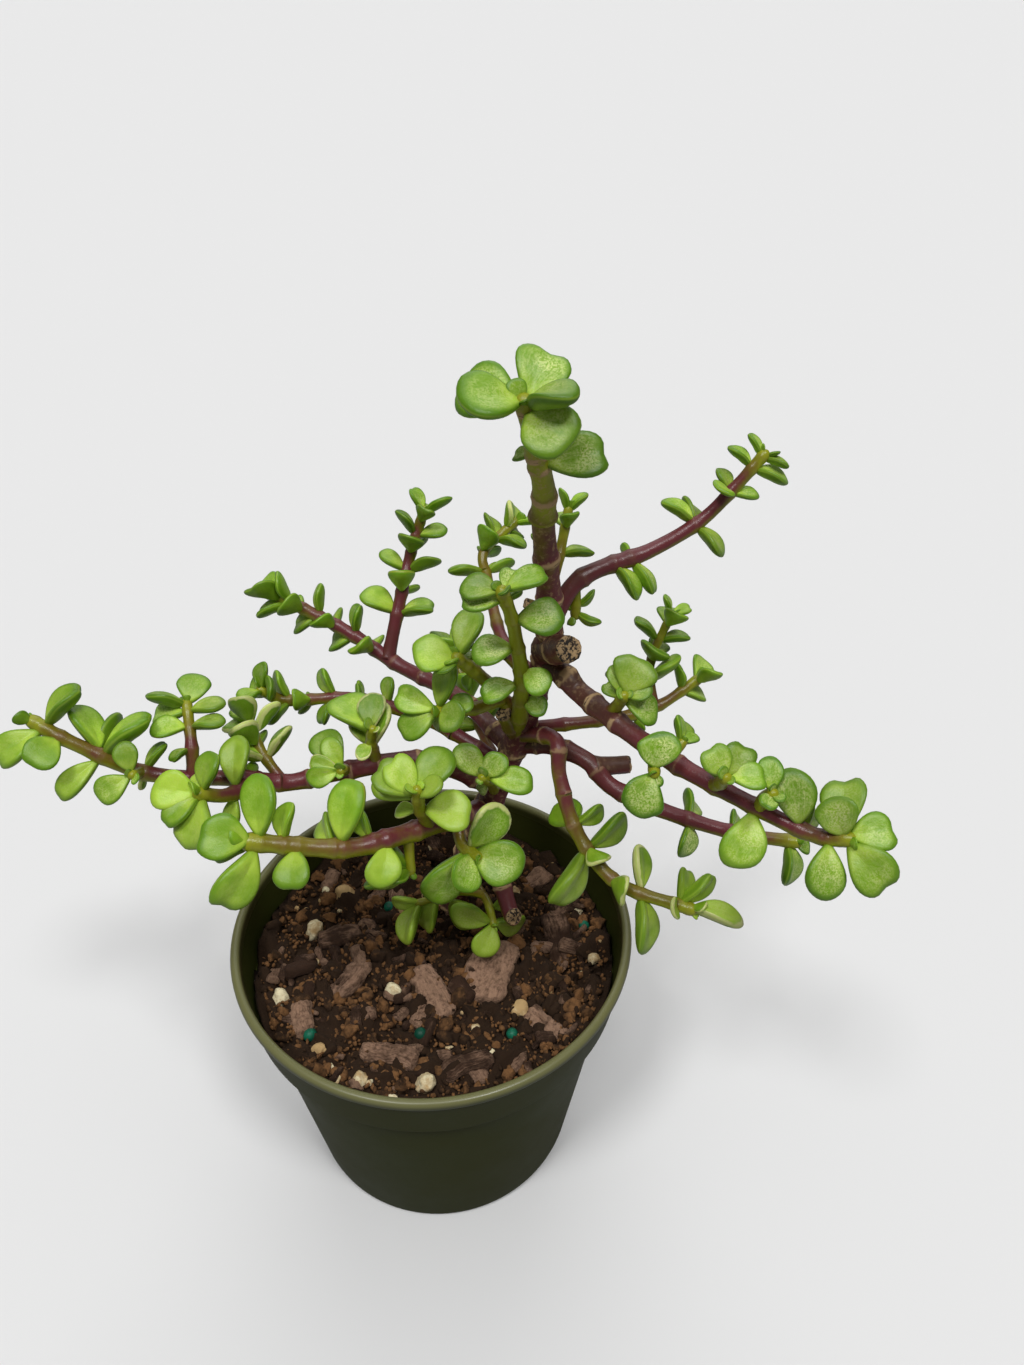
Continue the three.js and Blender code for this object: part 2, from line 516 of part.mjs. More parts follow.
// A stem's tube, fattened all round and at its ends by "extra".
function tubeSolid(stem, extra = 0) {
  const rings = stemRings(stem);
  const sides = isLeafy(stem) ? STEM_SIDES : TRUNK_SIDES;
  const tube = new THREE.CylinderGeometry(1, 1, rings.length - 1, sides, rings.length - 1);
  reshape(tube, ({ x, y, z }) => {
    const index = Math.round(y + 0.5 * (rings.length - 1));
    const [share, radius] = rings[index];
    const { along, side, over } = stem.path.axes(share);
    const end = index === 0 ? -extra : index === rings.length - 1 ? extra : 0;
    return stem.path.point(share)
      .addScaledVector(along, end)
      .addScaledVector(side, x * (radius + extra))
      .addScaledVector(over, z * (radius + extra));
  });
  return solidFrom(tube);
}

// The leaves that a stem would grow, before any of them bends clear: those set by hand, or
// opposite pairs, each a quarter turn on from the last and half closed at the tip.
function wishedLeaves(stem, seed) {
  if (stem.set) {
    return stem.set.map(([at, turn, open, long, broad, roll], k) => ({
      share: shareAt(stem, at), turn, open, long, broad, lift: 0,
      twist: roll ?? SET_TWIST_SHARE * TWIST_JITTER * (draw(100 * seed + k + 0.8) - 0.5),
      pair: `${stem.name} ${at}`,
    }));
  }
  return nodeShares(stem).flatMap((share, k) => [0, 1].map((half) => {
    const step = pairStep(stem, k);
    const key = 100 * seed + 10 * k + half;
    return {
      share,
      turn: stem.turn + 90 * k + 180 * half + TURN_JITTER * (draw(key) - 0.5),
      open: OPEN_LOW + (OPEN_TIP - OPEN_LOW) * step ** 2 + OPEN_JITTER * (draw(key + 0.3) - 0.5),
      long: (stem.leaf + (stem.small - stem.leaf) * step) * (1 + SIZE_JITTER * (draw(key + 0.6) - 0.5)),
      broad: 1 + BROAD_JITTER * (draw(key + 0.9) - 0.5),
      twist: TWIST_JITTER * (draw(key + 0.8) - 0.5),
      lift: TIP_LIFT,
      pair: `${stem.name} ${k}`,
    };
  }));
}

// A wished leaf's place when it is bent by so much: its root, its direction, the way across it and
// the way its upper face looks.
function leafPlace(stem, wish, shrink, opened, swing) {
  const { along, side, over } = stem.path.axes(wish.share);
  const angle = radians(wish.turn + swing);
  const opening = radians(wish.open + opened);
  const out = side.clone().multiplyScalar(Math.cos(angle)).addScaledVector(over, Math.sin(angle));
  const tip = along.clone().multiplyScalar(Math.cos(opening)).addScaledVector(out, Math.sin(opening));
  const face = along.clone().multiplyScalar(Math.sin(opening)).addScaledVector(out, -Math.cos(opening));
  tip.z += wish.lift;
  tip.normalize();
  face.addScaledVector(LIGHT, LIGHT_PULL);
  face.addScaledVector(tip, -face.dot(tip)).normalize().applyAxisAngle(tip, radians(wish.twist));
  const across = new THREE.Vector3().crossVectors(tip, face);
  const radius = stemRadius(stem, wish.share);
  const root = stem.path.point(wish.share).addScaledVector(out, 0.25 * radius);
  return { root, tip, across, face, length: shrink * wish.long + 0.7 * radius, broad: wish.broad };
}

// A point of a leaf. u and v run from -1 to 1 across and along its outline, w through it.
function leafPoint({ root, tip, across, face, length, broad }, u, v, w) {
  const along = 0.5 * (v + 1);
  const narrow = 1 - LEAF_NARROWING * (1 - along) ** 1.5;
  const wide = LEAF_HALF_WIDTH * broad * narrow * u;
  const bent = LEAF_CUP * u * u - LEAF_ARCH * along * along + 0.5 * LEAF_ARCH * along;
  return root.clone()
    .addScaledVector(across, length * wide)
    .addScaledVector(tip, length * along)
    .addScaledVector(face, length * (bent + LEAF_HALF_THICKNESS * w));
}

function leafSolid(place) {
  const blade = new THREE.SphereGeometry(1, LEAF_SIDES, 2).rotateX(Math.PI / 2).rotateZ(Math.PI / 2);
  return solidFrom(reshape(blade, ({ x, y, z }) => leafPoint(place, x, y, z)));
}

// Small balls spread over a leaf: its middle, a ring half-way out and a ring near its edge.
function leafBalls(place) {
  const reach = BALL_SHARE * place.length;
  const spots = [[0, 0]];
  for (const [count, far] of [[5, 0.45], [9, 0.84]]) {
    for (let i = 0; i < count; i++) {
      const angle = ((i + 0.5) / count) * 2 * Math.PI - 0.5 * Math.PI;
      spots.push([far * Math.cos(angle), far * Math.sin(angle)]);
    }
  }
  return spots.map(([u, v]) => ({ centre: leafPoint(place, u, v, 0), reach, root: v < -0.5 }));
}

// Balls along a stem.
function stemBalls(stem) {
  const count = Math.ceil(stem.path.length / 1.6);
  return Array.from({ length: count + 1 }, (_, i) => ({
    centre: stem.path.point(i / count),
    reach: NODE_SWELL * stemRadius(stem, i / count) + 0.2,
  }));
}

// Whether a leaf's balls keep off those already placed; within one solid they may come closer.
function isClear(balls, placed, solidName, pairName) {
  return balls.every(({ centre, reach, root }) => {
    if (centre.z - reach < LEAF_FLOOR_Z) return false;
    return placed.every((other) => {
      if (other.pair === pairName || (root && other.solid === solidName)) return true;
      const closeness = other.solid === solidName ? OWN_STEM_CLOSENESS : 1;
      return centre.distanceTo(other.centre) > closeness * (reach + other.reach);
    });
  });
}

// Sets a stem's leaves where they are clear of all that is placed. A leaf without room has dropped.
function growLeaves(stem, seed, placed) {
  const solidName = stem.with ?? stem.name;
  const leaves = [];
  for (const wish of wishedLeaves(stem, seed)) {
    const place = freePlace(stem, wish, placed, solidName);
    if (!place) continue;
    leaves.push(place);
    placed.push(...leafBalls(place).map((ball) => ({ ...ball, solid: solidName, pair: wish.pair })));
  }
  return leaves;
}

// The first place near the wished one where a leaf is clear, or nothing.
function freePlace(stem, wish, placed, solidName) {
  for (const shrink of SHRINKS) {
    for (const opened of OPENINGS) {
      for (const swing of SWINGS) {
        const place = leafPlace(stem, wish, shrink, opened, swing);
        if (isClear(leafBalls(place), placed, solidName, wish.pair)) return place;
      }
    }
  }
  return null;
}

const byName = new Map([["trunk", TRUNK]]);
TRUNK.path = stemPath(TRUNK);
for (const stem of STEMS) {
  stem.path = stemPath(stem, byName.get(stem.from));
  byName.set(stem.name, stem);
}
for (const stub of STUBS) stub.path = stemPath(stub, TRUNK);

// Every stem is in place before the first leaf, so leaves bend clear of all of them.
const placed = [];
for (const stem of [TRUNK, ...STUBS]) {
  placed.push(...stemBalls(stem).map((ball) => ({ ...ball, solid: "trunk" })));
}
for (const stem of STEMS) {
  placed.push(...stemBalls(stem).map((ball) => ({ ...ball, solid: stem.with ?? stem.name })));
}

const trunkSolid = STUBS.reduce((solid, stub) => solid.add(tubeSolid(stub)), tubeSolid(TRUNK));
const fatTrunk = STUBS.reduce((solid, stub) => solid.add(tubeSolid(stub, GAP)), tubeSolid(TRUNK, GAP));
const stemSolids = new Map();
STEMS.forEach((stem) => {
  let solid = tubeSolid(stem);
  if (!stem.with) {
    solid = solid.subtract(stem.from === "trunk" ? fatTrunk : tubeSolid(byName.get(stem.from), GAP));
  }
  const shared = stem.with && stemSolids.get(stem.with);
  stemSolids.set(stem.with ?? stem.name, shared ? shared.add(solid) : solid);
});

// The leaves set by hand take their places first, and the others grow round them.
for (const byHand of [true, false]) {
  STEMS.forEach((stem, index) => {
    if (Boolean(stem.set) !== byHand) return;
    const solidName = stem.with ?? stem.name;
    for (const place of growLeaves(stem, index + 1, placed)) {
      stemSolids.set(solidName, stemSolids.get(solidName).add(leafSolid(place)));
    }
  });
}

const bonsai = new THREE.Group();
bonsai.add(meshFrom("pot", potSolid(), COLOURS.pot));
bonsai.add(meshFrom("soil", soilSolid(TRUNK), COLOURS.soil));
bonsai.add(meshFrom("trunk", trunkSolid, COLOURS.bark));
for (const [name, solid] of stemSolids) bonsai.add(meshFrom(name, solid, COLOURS.leaf));

export default bonsai;
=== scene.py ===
"""Finished look of a variegated dwarf jade, grown as a small bonsai in its nursery pot.

The file is laid out as an add-on: a panel lists the sizes and colours of the pot, the soil, the stems,
the leaves and the studio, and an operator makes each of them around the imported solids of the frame.
Metres, +Z up, -Y to the front. Sizes in the tables of stems and chips are millimetres.
"""

import math
import random

import bmesh
import bpy
import numpy as np
from bpy.props import FloatProperty, FloatVectorProperty, IntProperty, PointerProperty
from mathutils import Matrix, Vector, noise


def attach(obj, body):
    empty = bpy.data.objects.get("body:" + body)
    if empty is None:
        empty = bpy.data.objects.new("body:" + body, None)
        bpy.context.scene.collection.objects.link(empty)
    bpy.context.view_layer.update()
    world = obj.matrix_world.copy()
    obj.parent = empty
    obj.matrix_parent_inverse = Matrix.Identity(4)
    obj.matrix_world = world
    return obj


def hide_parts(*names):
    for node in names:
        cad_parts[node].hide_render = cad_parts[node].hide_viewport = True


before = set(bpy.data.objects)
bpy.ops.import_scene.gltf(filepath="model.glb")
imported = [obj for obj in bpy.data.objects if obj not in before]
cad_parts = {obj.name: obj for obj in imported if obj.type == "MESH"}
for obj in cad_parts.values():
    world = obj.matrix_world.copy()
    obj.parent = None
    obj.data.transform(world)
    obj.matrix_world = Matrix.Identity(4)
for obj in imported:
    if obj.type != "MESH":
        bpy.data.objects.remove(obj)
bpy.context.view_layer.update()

bl_info = {
    "name": "Potted dwarf jade",
    "version": (1, 0, 0),
    "blender": (4, 5, 0),
    "location": "3D View > Sidebar > Jade",
    "description": "Builds a small variegated dwarf jade in its pot",
    "category": "Add Mesh",
}

MM = 0.001
BODY = "root"

# The pot's section, as the solids have it.
POT_HEIGHT = 80
LIP_RADIUS = 52.5
LIP_WIDTH = 2.4
LIP_DEPTH = 2.8
BAND_TOP_RADIUS = 51.7
BAND_LOW_RADIUS = 49.7
BAND_LOW_Z = 64.5
BODY_TOP_RADIUS = 47
BODY_LOW_RADIUS = 38.1
BASE_ROUND = 2.6
WALL = 1.3
FLOOR = 1.8
DRAIN_HOLES = 6
DRAIN_CIRCLE = 29
GAP = 0.3

# The soil's level, its waves, its bank at the wall and its highest crumb, its edge and how finely it is
# turned, and how far out its lumps lie.
SOIL_TOP = 66
SOIL_WAVE = 1.2
SOIL_BANK = 1.6
SOIL_PEAK = 4.5
SOIL_EDGE = BAND_LOW_RADIUS - WALL - GAP
SOIL_RINGS = 64
SOIL_SIDES = 144
STREWN_RADIUS = BAND_LOW_RADIUS - WALL - 2
# The large bark chips (x, y, degrees turned, long, wide), perlite crumbs and feed beads (x, y, radius).
BARK = [
    (15, -6, 70, 20, 13), (34, 5, 100, 17, 7), (0, -12, 120, 18, 8), (-10, -31, 165, 15, 6),
    (-22, -8, 60, 14, 7), (10, -34, 20, 13, 6), (-33, -20, 110, 12, 6), (30, -22, 150, 14, 6),
    (-27, 6, 20, 13, 6), (-16, 30, 70, 14, 7), (27, 26, 40, 12, 6),
]
BARK_THICK = 3.6
PERLITE = [
    (-34, 8, 2.6), (-27, 21, 3.2), (-39.5, -14, 2.6), (0, -38.5, 2.6), (-16, -38, 2.3), (23, -18, 2),
    (43, -2, 1.9), (-10, -13, 2.4), (-27, -29.5, 2), (38, 16, 1.9), (-3, 40, 2),
]
FEED_BEADS = [(-30, -25, 1.8), (-2, -25.5, 1.6), (41, 10, 1.7), (21, -25, 1.5), (-14, 17, 1.6)]

# How much riper, and how much woodier, some stems look than their thickness tells.
FLUSH = {
    "right_limb": 0.1, "back_right": 0.15, "far_left": -0.08, "back_left": 0.05, "back_top": 0.15,
    "leader": -0.42, "front_top": -0.22, "left_front": -0.3, "left_top": -0.2, "left_front_top": -0.2,
    "right_lower_stub": 0.3, "right_lower": 0.05, "front_low": -0.1, "front_right": -0.12,
}
WOODY = {
    "trunk": 0.45, "leader": 0.5, "left_front": -0.25, "front_right": 0.1, "right_lower": -0.1,
    "far_left": -0.1, "back_right": -0.1,
}
# How fresh the leaves of some stems are, how much cream they show and how likely each has a wide pale
# border. The other stems have the usual values.
FRESH = {
    "leader": 0.35, "left_front": 0.55, "far_left": 0.5, "far_left_front": 0.75, "front_right": 0.75,
    "right_limb": 0.4, "right_limb_spur": 0.05, "right_limb_side": 0.1, "centre_front": 0.7,
    "front_low": 0.3, "left_front_spur": 0.3, "front_top": 0.3, "soil_shoot": 1.1,
    "soil_shoot_left": 1.1, "right_lower": 0.15,
}
USUAL_FRESH = 0.45
CREAM = {
    "leader": 0.8, "right_limb": 0.9, "right_limb_spur": 1.2, "right_limb_side": 0.9, "front_low": 0.9,
    "front_top": 0.7, "right_limb_rosette": 0.7, "right_limb_crown": 0.6, "right_lower": 0.9,
    "centre_back": 0.8, "left_middle": 0.6, "left_front": 0.15, "far_left": 0.2, "front_right": 0.25,
    "far_left_front": 0.2,
}
USUAL_CREAM = 0.4
BORDERED = {
    "left_crown": 0.6, "left_middle": 0.5, "front_right": 0.35, "centre_back": 0.4, "soil_shoot_left": 0.3,
}
USUAL_BORDERED = 0.04

# Finer shapes than the solids have: tip buds, notches and bends of the leaves, leafless nodes, and the
# ends of stems as (distance past the end, share of the radius), in mm for a sawn end and in radii of the
# stem for a round one.
BUD_LENGTH = 1.5
BUD_SPREAD = 0.55
NOTCH = 0.3
SWAY = 0.24
WOOD_NODE_STEP = 10.5
BARE_NODE_STEP = 8.5
NO_NODE_NEAR = 99.0
SAWN_END = ((0.15, 0.93), (0.28, 0.6), (0.34, 0.08))
ROUND_END = ((0.4, 0.88), (0.75, 0.6), (0.95, 0.12))

# Growth habit, shared with the solids, so each leaf stands where its solid does.
LEAF_HALF_WIDTH = 0.47
LEAF_HALF_THICKNESS = 0.14
LEAF_NARROWING = 0.8
LEAF_CUP = 0.1
LEAF_ARCH = 0.1
BROAD_JITTER = 0.24
OPEN_LOW = 72
OPEN_TIP = 42
OPEN_JITTER = 24
TIP_LIFT = 0.14
LIGHT = np.array((0, -0.55, 0.83))
LIGHT_PULL = 0.6
TURN_JITTER = 26
TWIST_JITTER = 44
SIZE_JITTER = 0.24
SET_TWIST_SHARE = 0.4
NODE_SWELL = 1.16
CROWDING = 1.35
TIP_INSET = 0.8
SHRINKS = (1, 0.86, 0.72)
OPENINGS = (0, -16, 14, -30)
SWINGS = (0, 14, -14, 28, -28, 42, -42)
BALL_SHARE = 0.13
BALL_SPACING = 1.6
OWN_STEM_CLOSENESS = 0.62
LEAF_FLOOR_Z = 71
CURVE_STEPS = 200

TRUNK = {
    "name": "trunk", "thick": 9, "thin": 4.8,
    "route": [(4, 20, 40), (4, 20, 66), (13, 17, 100), (22, 14, 131), (29, 8, 164), (27, -1, 200)],
}
STUBS = [
    {"name": "stub_high", "from": "trunk", "at": 126, "route": [(33, -2, 169)], "thick": 6.4, "thin": 6.2},
    {"name": "stub_left", "from": "trunk", "at": 95, "route": [(19, 9, 143)], "thick": 4.2, "thin": 4},
    {"name": "stub_low", "from": "trunk", "at": 58, "route": [(16, 10, 94), (20.5, 0, 84), (21.5, -2, 84.5)],
     "thick": 4.8, "thin": 4.6},
    {"name": "stub_middle", "from": "trunk", "at": 114, "route": [(20, 12, 158)], "thick": 3.4, "thin": 3.2},
    {"name": "stub_top", "from": "trunk", "at": 138, "route": [(24, 5, 176)], "thick": 2.8, "thin": 2.6},
]
# Each stem: its name, the stem it grows from, how far along that one in mm, its route, and its root and
# tip thickness. "with" names the stem whose solid holds it. Stems that stand in full view have their
# leaves "set" one by one: (mm along the stem, degrees round it, degrees from it, length, breadth as a
# share of the usual one, and for some the degrees rolled round their own length). The others grow
# opposite pairs by rule: "bare" mm first, then so many "pairs", with the length of a "leaf" in the
# lowest pair, of a "small" one in the tip pair, and the lowest pair's "turn" in degrees.
STEMS = [
    {"name": "leader", "from": "trunk", "at": 165, "route": [(27, -4, 207), (25, -8, 217), (23, -12, 227)],
     "thick": 5, "thin": 3, "set": [
         (28, -120, 95, 10.5, 1.3, 10), (17, 30, 105, 3.5, 0.9), (30, 35, 85, 12, 1.1, -20),
         (14, -175, 80, 12, 0.9, 25), (30, 125, 75, 10.5, 1.2, 15), (29, 0, 55, 11.5, 1.15, 0),
         (29, 175, 90, 11, 0.8, -20), (28, 160, 135, 9, 0.8, -20)]},
    {"name": "front_top", "from": "trunk", "at": 95,
     "route": [(23, 6, 149), (23, 3, 160), (22, 0, 169), (21, -4, 178), (19, -8, 187)],
     "thick": 4.2, "thin": 2.6, "set": [
         (19, -165, 70, 5.5, 1.1), (25, 5, 85, 9, 0.8), (30, -165, 85, 7, 1.1), (38, -15, 75, 9, 1.05),
         (38, 155, 105, 12, 0.9), (49, -170, 85, 9.5, 1.1), (56, 0, 75, 8.5, 0.8), (56, 105, 135, 7, 0.9),
         (59, 20, 70, 7.5, 1), (59, 115, 90, 5.5, 0.9), (59, 160, 85, 9, 0.8)]},
    {"name": "right_limb", "from": "trunk", "at": 122,
     "route": [(33, 3, 158), (36, 0, 156), (43, -10, 156), (51, -19, 155), (60, -28, 155), (77, -40, 153),
               (84, -44, 155)],
     "thick": 5.4, "thin": 2.8, "set": [
         (60, -40, 75, 11.5, 0.95, 45), (69, 105, 110, 11, 0.9, -55), (70, 180, 100, 8, 0.9),
         (74, 170, 75, 5, 0.9), (75, -45, 95, 10.5, 0.95, 30), (78, 95, 100, 8, 1.2, -65),
         (79, 170, 25, 8.5, 1.05, -35), (79, -70, 45, 11.5, 1, 55), (79, 130, 100, 11, 0.95, -60),
         (77, 170, 100, 6.5, 0.9)]},
    {"name": "right_limb_spur", "with": "right_limb", "from": "right_limb", "at": 33,
     "route": [(49, -25, 158), (49, -29, 158)],
     "thick": 2.6, "thin": 2.2, "set": [(13, 95, 115, 7.5, 1.5), (13, -50, 45, 9, 1.3)]},
    {"name": "right_limb_side", "with": "right_limb", "from": "right_limb", "at": 61,
     "route": [(69, -36, 158), (70, -38, 161)],
     "thick": 2.6, "thin": 2.2, "set": [(7, 90, 70, 6.5, 0.9, -25), (7, -60, 50, 5, 0.9)]},
    {"name": "right_limb_bud", "with": "right_limb", "from": "right_limb", "at": 40,
     "route": [(56, -19, 158)],
     "thick": 2.4, "thin": 1.8, "set": [
         (4, 150, 40, 5.5, 0.8), (4, -160, 45, 6, 1.2), (4, -90, 40, 4.5, 0.8)]},
    {"name": "right_limb_rosette", "from": "right_limb", "at": 22, "route": [(43, -9, 159), (44, -13, 165)],
     "thick": 3.2, "thin": 2.2, "set": [
         (8, 45, 100, 4.5, 1), (8, -155, 95, 7.5, 1.1), (11, 60, 70, 6.5, 0.75), (11, 110, 60, 8.5, 1.35),
         (11, 170, 60, 5.5, 0.9)]},
    {"name": "right_limb_crown", "from": "right_limb", "at": 51, "route": [(61, -33, 159), (61, -37, 164)],
     "thick": 2.8, "thin": 2.2, "set": [
         (7, 80, 125, 5, 0.9), (12, 60, 60, 6.5, 1.15), (12, 120, 75, 7, 1.1), (12, -170, 75, 7, 1)]},
    {"name": "right_lower", "from": "trunk", "at": 92,
     "route": [(30, 12, 131), (39, 6, 131), (45, 1, 127), (57, -4, 124), (72, -11, 124), (85, -16, 126)],
     "thick": 5, "thin": 3, "set": [
         (48, -55, 80, 7.5, 1.1), (48, -170, 105, 9, 0.9), (58, 180, 95, 6, 0.9), (71, -60, 85, 9.5, 1)]},
    {"name": "right_lower_stub", "with": "right_lower", "from": "right_lower", "at": 22,
     "route": [(49, 7, 129)],
     "thick": 4.8, "thin": 4.6, "set": []},
    {"name": "front_right", "from": "trunk", "at": 96,
     "route": [(31, 3, 140), (32, -3, 134), (36, -11, 124), (45, -20, 117), (61, -27, 116)],
     "thick": 4, "thin": 2.8, "set": [
         (36, -110, 135, 7.5, 1.3), (36, 155, 100, 7, 0.9), (42, 95, 45, 6, 1.1), (42, 155, 95, 11, 0.8),
         (42, -30, 60, 14.5, 0.75), (51, 35, 30, 7, 1.3), (58, 140, 110, 10, 0.75),
         (58, -55, 65, 12.5, 0.75), (66, 30, 80, 4.5, 1.3), (67, 150, 90, 8, 0.9), (67, 135, 55, 10, 0.7),
         (70, -160, 15, 12, 0.6, -55)]},
    {"name": "back_right", "from": "trunk", "at": 134,
     "route": [(36, 12, 178), (51, 17, 182), (62, 21, 187), (69, 23, 194), (75, 25, 201)],
     "thick": 4.4, "thin": 2.4, "set": [
         (20, -35, 75, 8, 0.9), (24, -50, 75, 8.5, 0.7), (24, -165, 80, 6, 0.8), (40, 130, 105, 8, 0.8),
         (40, -45, 80, 8, 0.9), (40, 180, 70, 8, 1), (50, 60, 95, 5, 1.3), (50, 150, 65, 5.5, 1),
         (50, -55, 50, 5.5, 0.9), (57, 130, 85, 6, 0.9), (57, -60, 70, 7.5, 0.9), (62, 140, 65, 5, 0.8),
         (62, -60, 65, 5.5, 0.7)]},
    {"name": "shoulder", "with": "back_right", "from": "back_right", "at": 10,
     "route": [(35, 12, 173), (35, 11, 169)],
     "thick": 2.6, "thin": 2, "set": [(6, 25, 120, 5, 0.9), (8, 150, 140, 6, 1), (8, -10, 65, 5.5, 0.85)]},
    {"name": "leader_back", "from": "trunk", "at": 144, "route": [(31, 11, 184), (33, 16, 193)],
     "thick": 2.8, "thin": 1.8, "bare": 9, "pairs": 3, "leaf": 7, "small": 5, "turn": 0},
    {"name": "right_back", "from": "trunk", "at": 98, "route": [(42, 14, 137), (56, 19, 137), (67, 24, 142)],
     "thick": 3.4, "thin": 2.4, "bare": 28, "pairs": 4, "leaf": 5, "small": 8, "turn": 110},
    {"name": "right_back_shoot", "from": "right_back", "at": 34, "route": [(55, 25, 146), (60, 31, 157)],
     "thick": 2.6, "thin": 1.8, "bare": 7, "pairs": 5, "leaf": 10, "small": 5.5, "turn": 10},
    {"name": "far_left", "from": "trunk", "at": 76,
     "route": [(-1, 13, 125), (-20, 8, 126), (-33, 5, 125), (-43, 2, 129), (-63, -1, 133), (-78, -2, 143),
               (-87, 0, 148)],
     "thick": 5.4, "thin": 3, "set": [
         (66, 5, 135, 6, 0.9), (88, 50, 105, 7.5, 0.7), (88, -75, 95, 5, 0.9), (98, -120, 70, 12.5, 0.6, -40),
         (98, 75, 105, 14, 0.8, -20), (99, 40, 90, 12, 0.75, -15), (99, 25, 45, 12, 0.8, 90),
         (112, 55, 100, 12, 0.75, 10), (112, -140, 70, 12, 0.85, -45), (108, -170, 80, 8.5, 1.2, -70),
         (115, 25, 15, 5.5, 0.95, 75)]},
    {"name": "far_left_spur", "with": "far_left", "from": "far_left", "at": 89, "route": [(-64, -8, 139)],
     "thick": 2.6, "thin": 2.2, "set": [(9, 80, 80, 7, 1), (9, -30, 95, 9, 0.95)]},
    {"name": "far_left_crown", "from": "far_left", "at": 77, "route": [(-54, 4, 138), (-56, 12, 144)],
     "thick": 3.4, "thin": 2.2, "set": [
         (7, -45, 110, 5, 0.9), (12, -25, 85, 8, 0.95, -40), (18, 145, 20, 8, 1.25, 60),
         (16, 170, 90, 8.5, 0.8, 25), (16, -40, 80, 9.5, 0.85, -40), (18, -15, 70, 9, 0.9, 0),
         (12, -175, 95, 8.5, 0.95)]},
    {"name": "far_left_front", "from": "far_left", "at": 62, "route": [(-44, -7, 132), (-49, -11, 136)],
     "thick": 4, "thin": 3, "set": [
         (9, 70, 110, 12, 0.75), (9, -95, 80, 7, 0.8), (18, -130, 80, 12, 1.15), (18, 80, 80, 9.5, 0.9),
         (18, -55, 85, 11.5, 0.75), (19, 15, 100, 8, 1), (19, -90, 65, 9.5, 0.8), (19, -20, 35, 10, 1.1)]},
    {"name": "left_middle", "from": "far_left", "at": 56, "route": [(-40, 10, 131), (-43, 16, 135)],
     "thick": 2.8, "thin": 2, "bare": 7, "pairs": 4, "leaf": 10, "small": 9, "turn": 20},
    {"name": "left_crown", "from": "far_left", "at": 33, "route": [(-13, 10, 133), (-12, 8, 139)],
     "thick": 3.2, "thin": 2.4, "set": [
         (5, 125, 35, 11, 0.9), (5, 60, 50, 9, 0.95), (7, -65, 80, 5, 0.9), (11, 75, 95, 13, 1),
         (11, 105, 90, 9.5, 0.9)]},
    {"name": "left_low", "from": "far_left", "at": 41, "route": [(-19, 3, 131), (-19, 0, 133)],
     "thick": 2.8, "thin": 2.2, "set": [
         (5, 65, 80, 8, 0.8), (5, 60, 105, 11, 0.95), (9, 15, 90, 7.5, 0.7), (9, -20, 85, 8, 0.8)]},
    {"name": "left_upper", "from": "trunk", "at": 84,
     "route": [(3, 24, 127), (-8, 26, 131), (-20, 27, 134), (-36, 26, 134), (-42, 25, 138)],
     "thick": 3.8, "thin": 2.6, "bare": 34, "pairs": 7, "leaf": 7, "small": 7.5, "turn": 50},
    {"name": "back_left", "from": "trunk", "at": 90,
     "route": [(8, 28, 133), (-9, 40, 135), (-23, 47, 141), (-41, 53, 148)],
     "thick": 4.8, "thin": 3, "bare": 42, "pairs": 8, "leaf": 8, "small": 9, "turn": 60},
    {"name": "back_top", "from": "back_left", "at": 44,
     "route": [(-9, 48, 147), (-6, 56, 158), (-2, 62, 169)],
     "thick": 3.8, "thin": 2.4, "bare": 12, "pairs": 7, "leaf": 9, "small": 7, "turn": 10},
    {"name": "back_middle", "from": "trunk", "at": 116,
     "route": [(19, 20, 156), (15, 40, 161), (14, 47, 165), (22, 54, 170)],
     "thick": 3.2, "thin": 2.2, "bare": 37, "pairs": 5, "leaf": 9, "small": 6.5, "turn": 170},
    {"name": "back_low", "from": "trunk", "at": 80, "route": [(10, 36, 125), (5, 50, 134)],
     "thick": 3.2, "thin": 2, "bare": 16, "pairs": 5, "leaf": 10, "small": 9, "turn": 30},
    {"name": "left_front_top", "from": "trunk", "at": 100,
     "route": [(18, 11, 147), (14, 6, 156), (9, 2, 164)],
     "thick": 3.8, "thin": 2.8, "set": [
         (26, -35, 120, 4, 0.9), (29, 115, 115, 4, 0.9), (33, 120, 110, 5, 0.9), (33, -50, 50, 5.5, 0.9),
         (33, 15, 45, 9.5, 1.25), (33, 150, 80, 11, 0.85)]},
    {"name": "left_top", "with": "left_front_top", "from": "left_front_top", "at": 10,
     "route": [(12, 7, 146), (4, 1, 150)],
     "thick": 3.2, "thin": 2.6, "set": [
         (16, 100, 110, 6.5, 0.9), (16, -65, 95, 5.5, 0.9), (18, 165, 90, 7, 1.3), (23, 0, 50, 10.5, 0.75),
         (23, 95, 95, 11, 0.75), (23, -70, 55, 10, 0.85)]},
    {"name": "left_front", "from": "trunk", "at": 67,
     "route": [(7, 0, 118), (-5, -11, 123), (-17, -17, 125), (-37, -20, 130)],
     "thick": 5.4, "thin": 4, "set": [
         (43, -145, 65, 9.5, 1, -65), (46, 35, 80, 7.5, 0.8), (53, 65, 95, 14.5, 0.8, 20),
         (55, 30, 80, 9, 0.9), (63, -165, 85, 9.5, 1, -40), (66, 50, 85, 8, 0.9), (71, 60, 85, 14, 0.8, 30),
         (72, -130, 70, 15.5, 0.8, -90), (74, 80, 15, 11, 1.15, 135), (74, -70, 50, 9, 0.9, 40)]},
    {"name": "left_front_spur", "with": "left_front", "from": "left_front", "at": 37,
     "route": [(-3, -12, 112)],
     "thick": 2.8, "thin": 2.2, "set": [
         (10, 165, 140, 9, 1.4), (10, -135, 90, 9, 1.3), (10, 175, 60, 12, 0.85)]},
    {"name": "centre_front", "from": "left_front", "at": 31, "route": [(0, -10, 131), (0, -12, 138)],
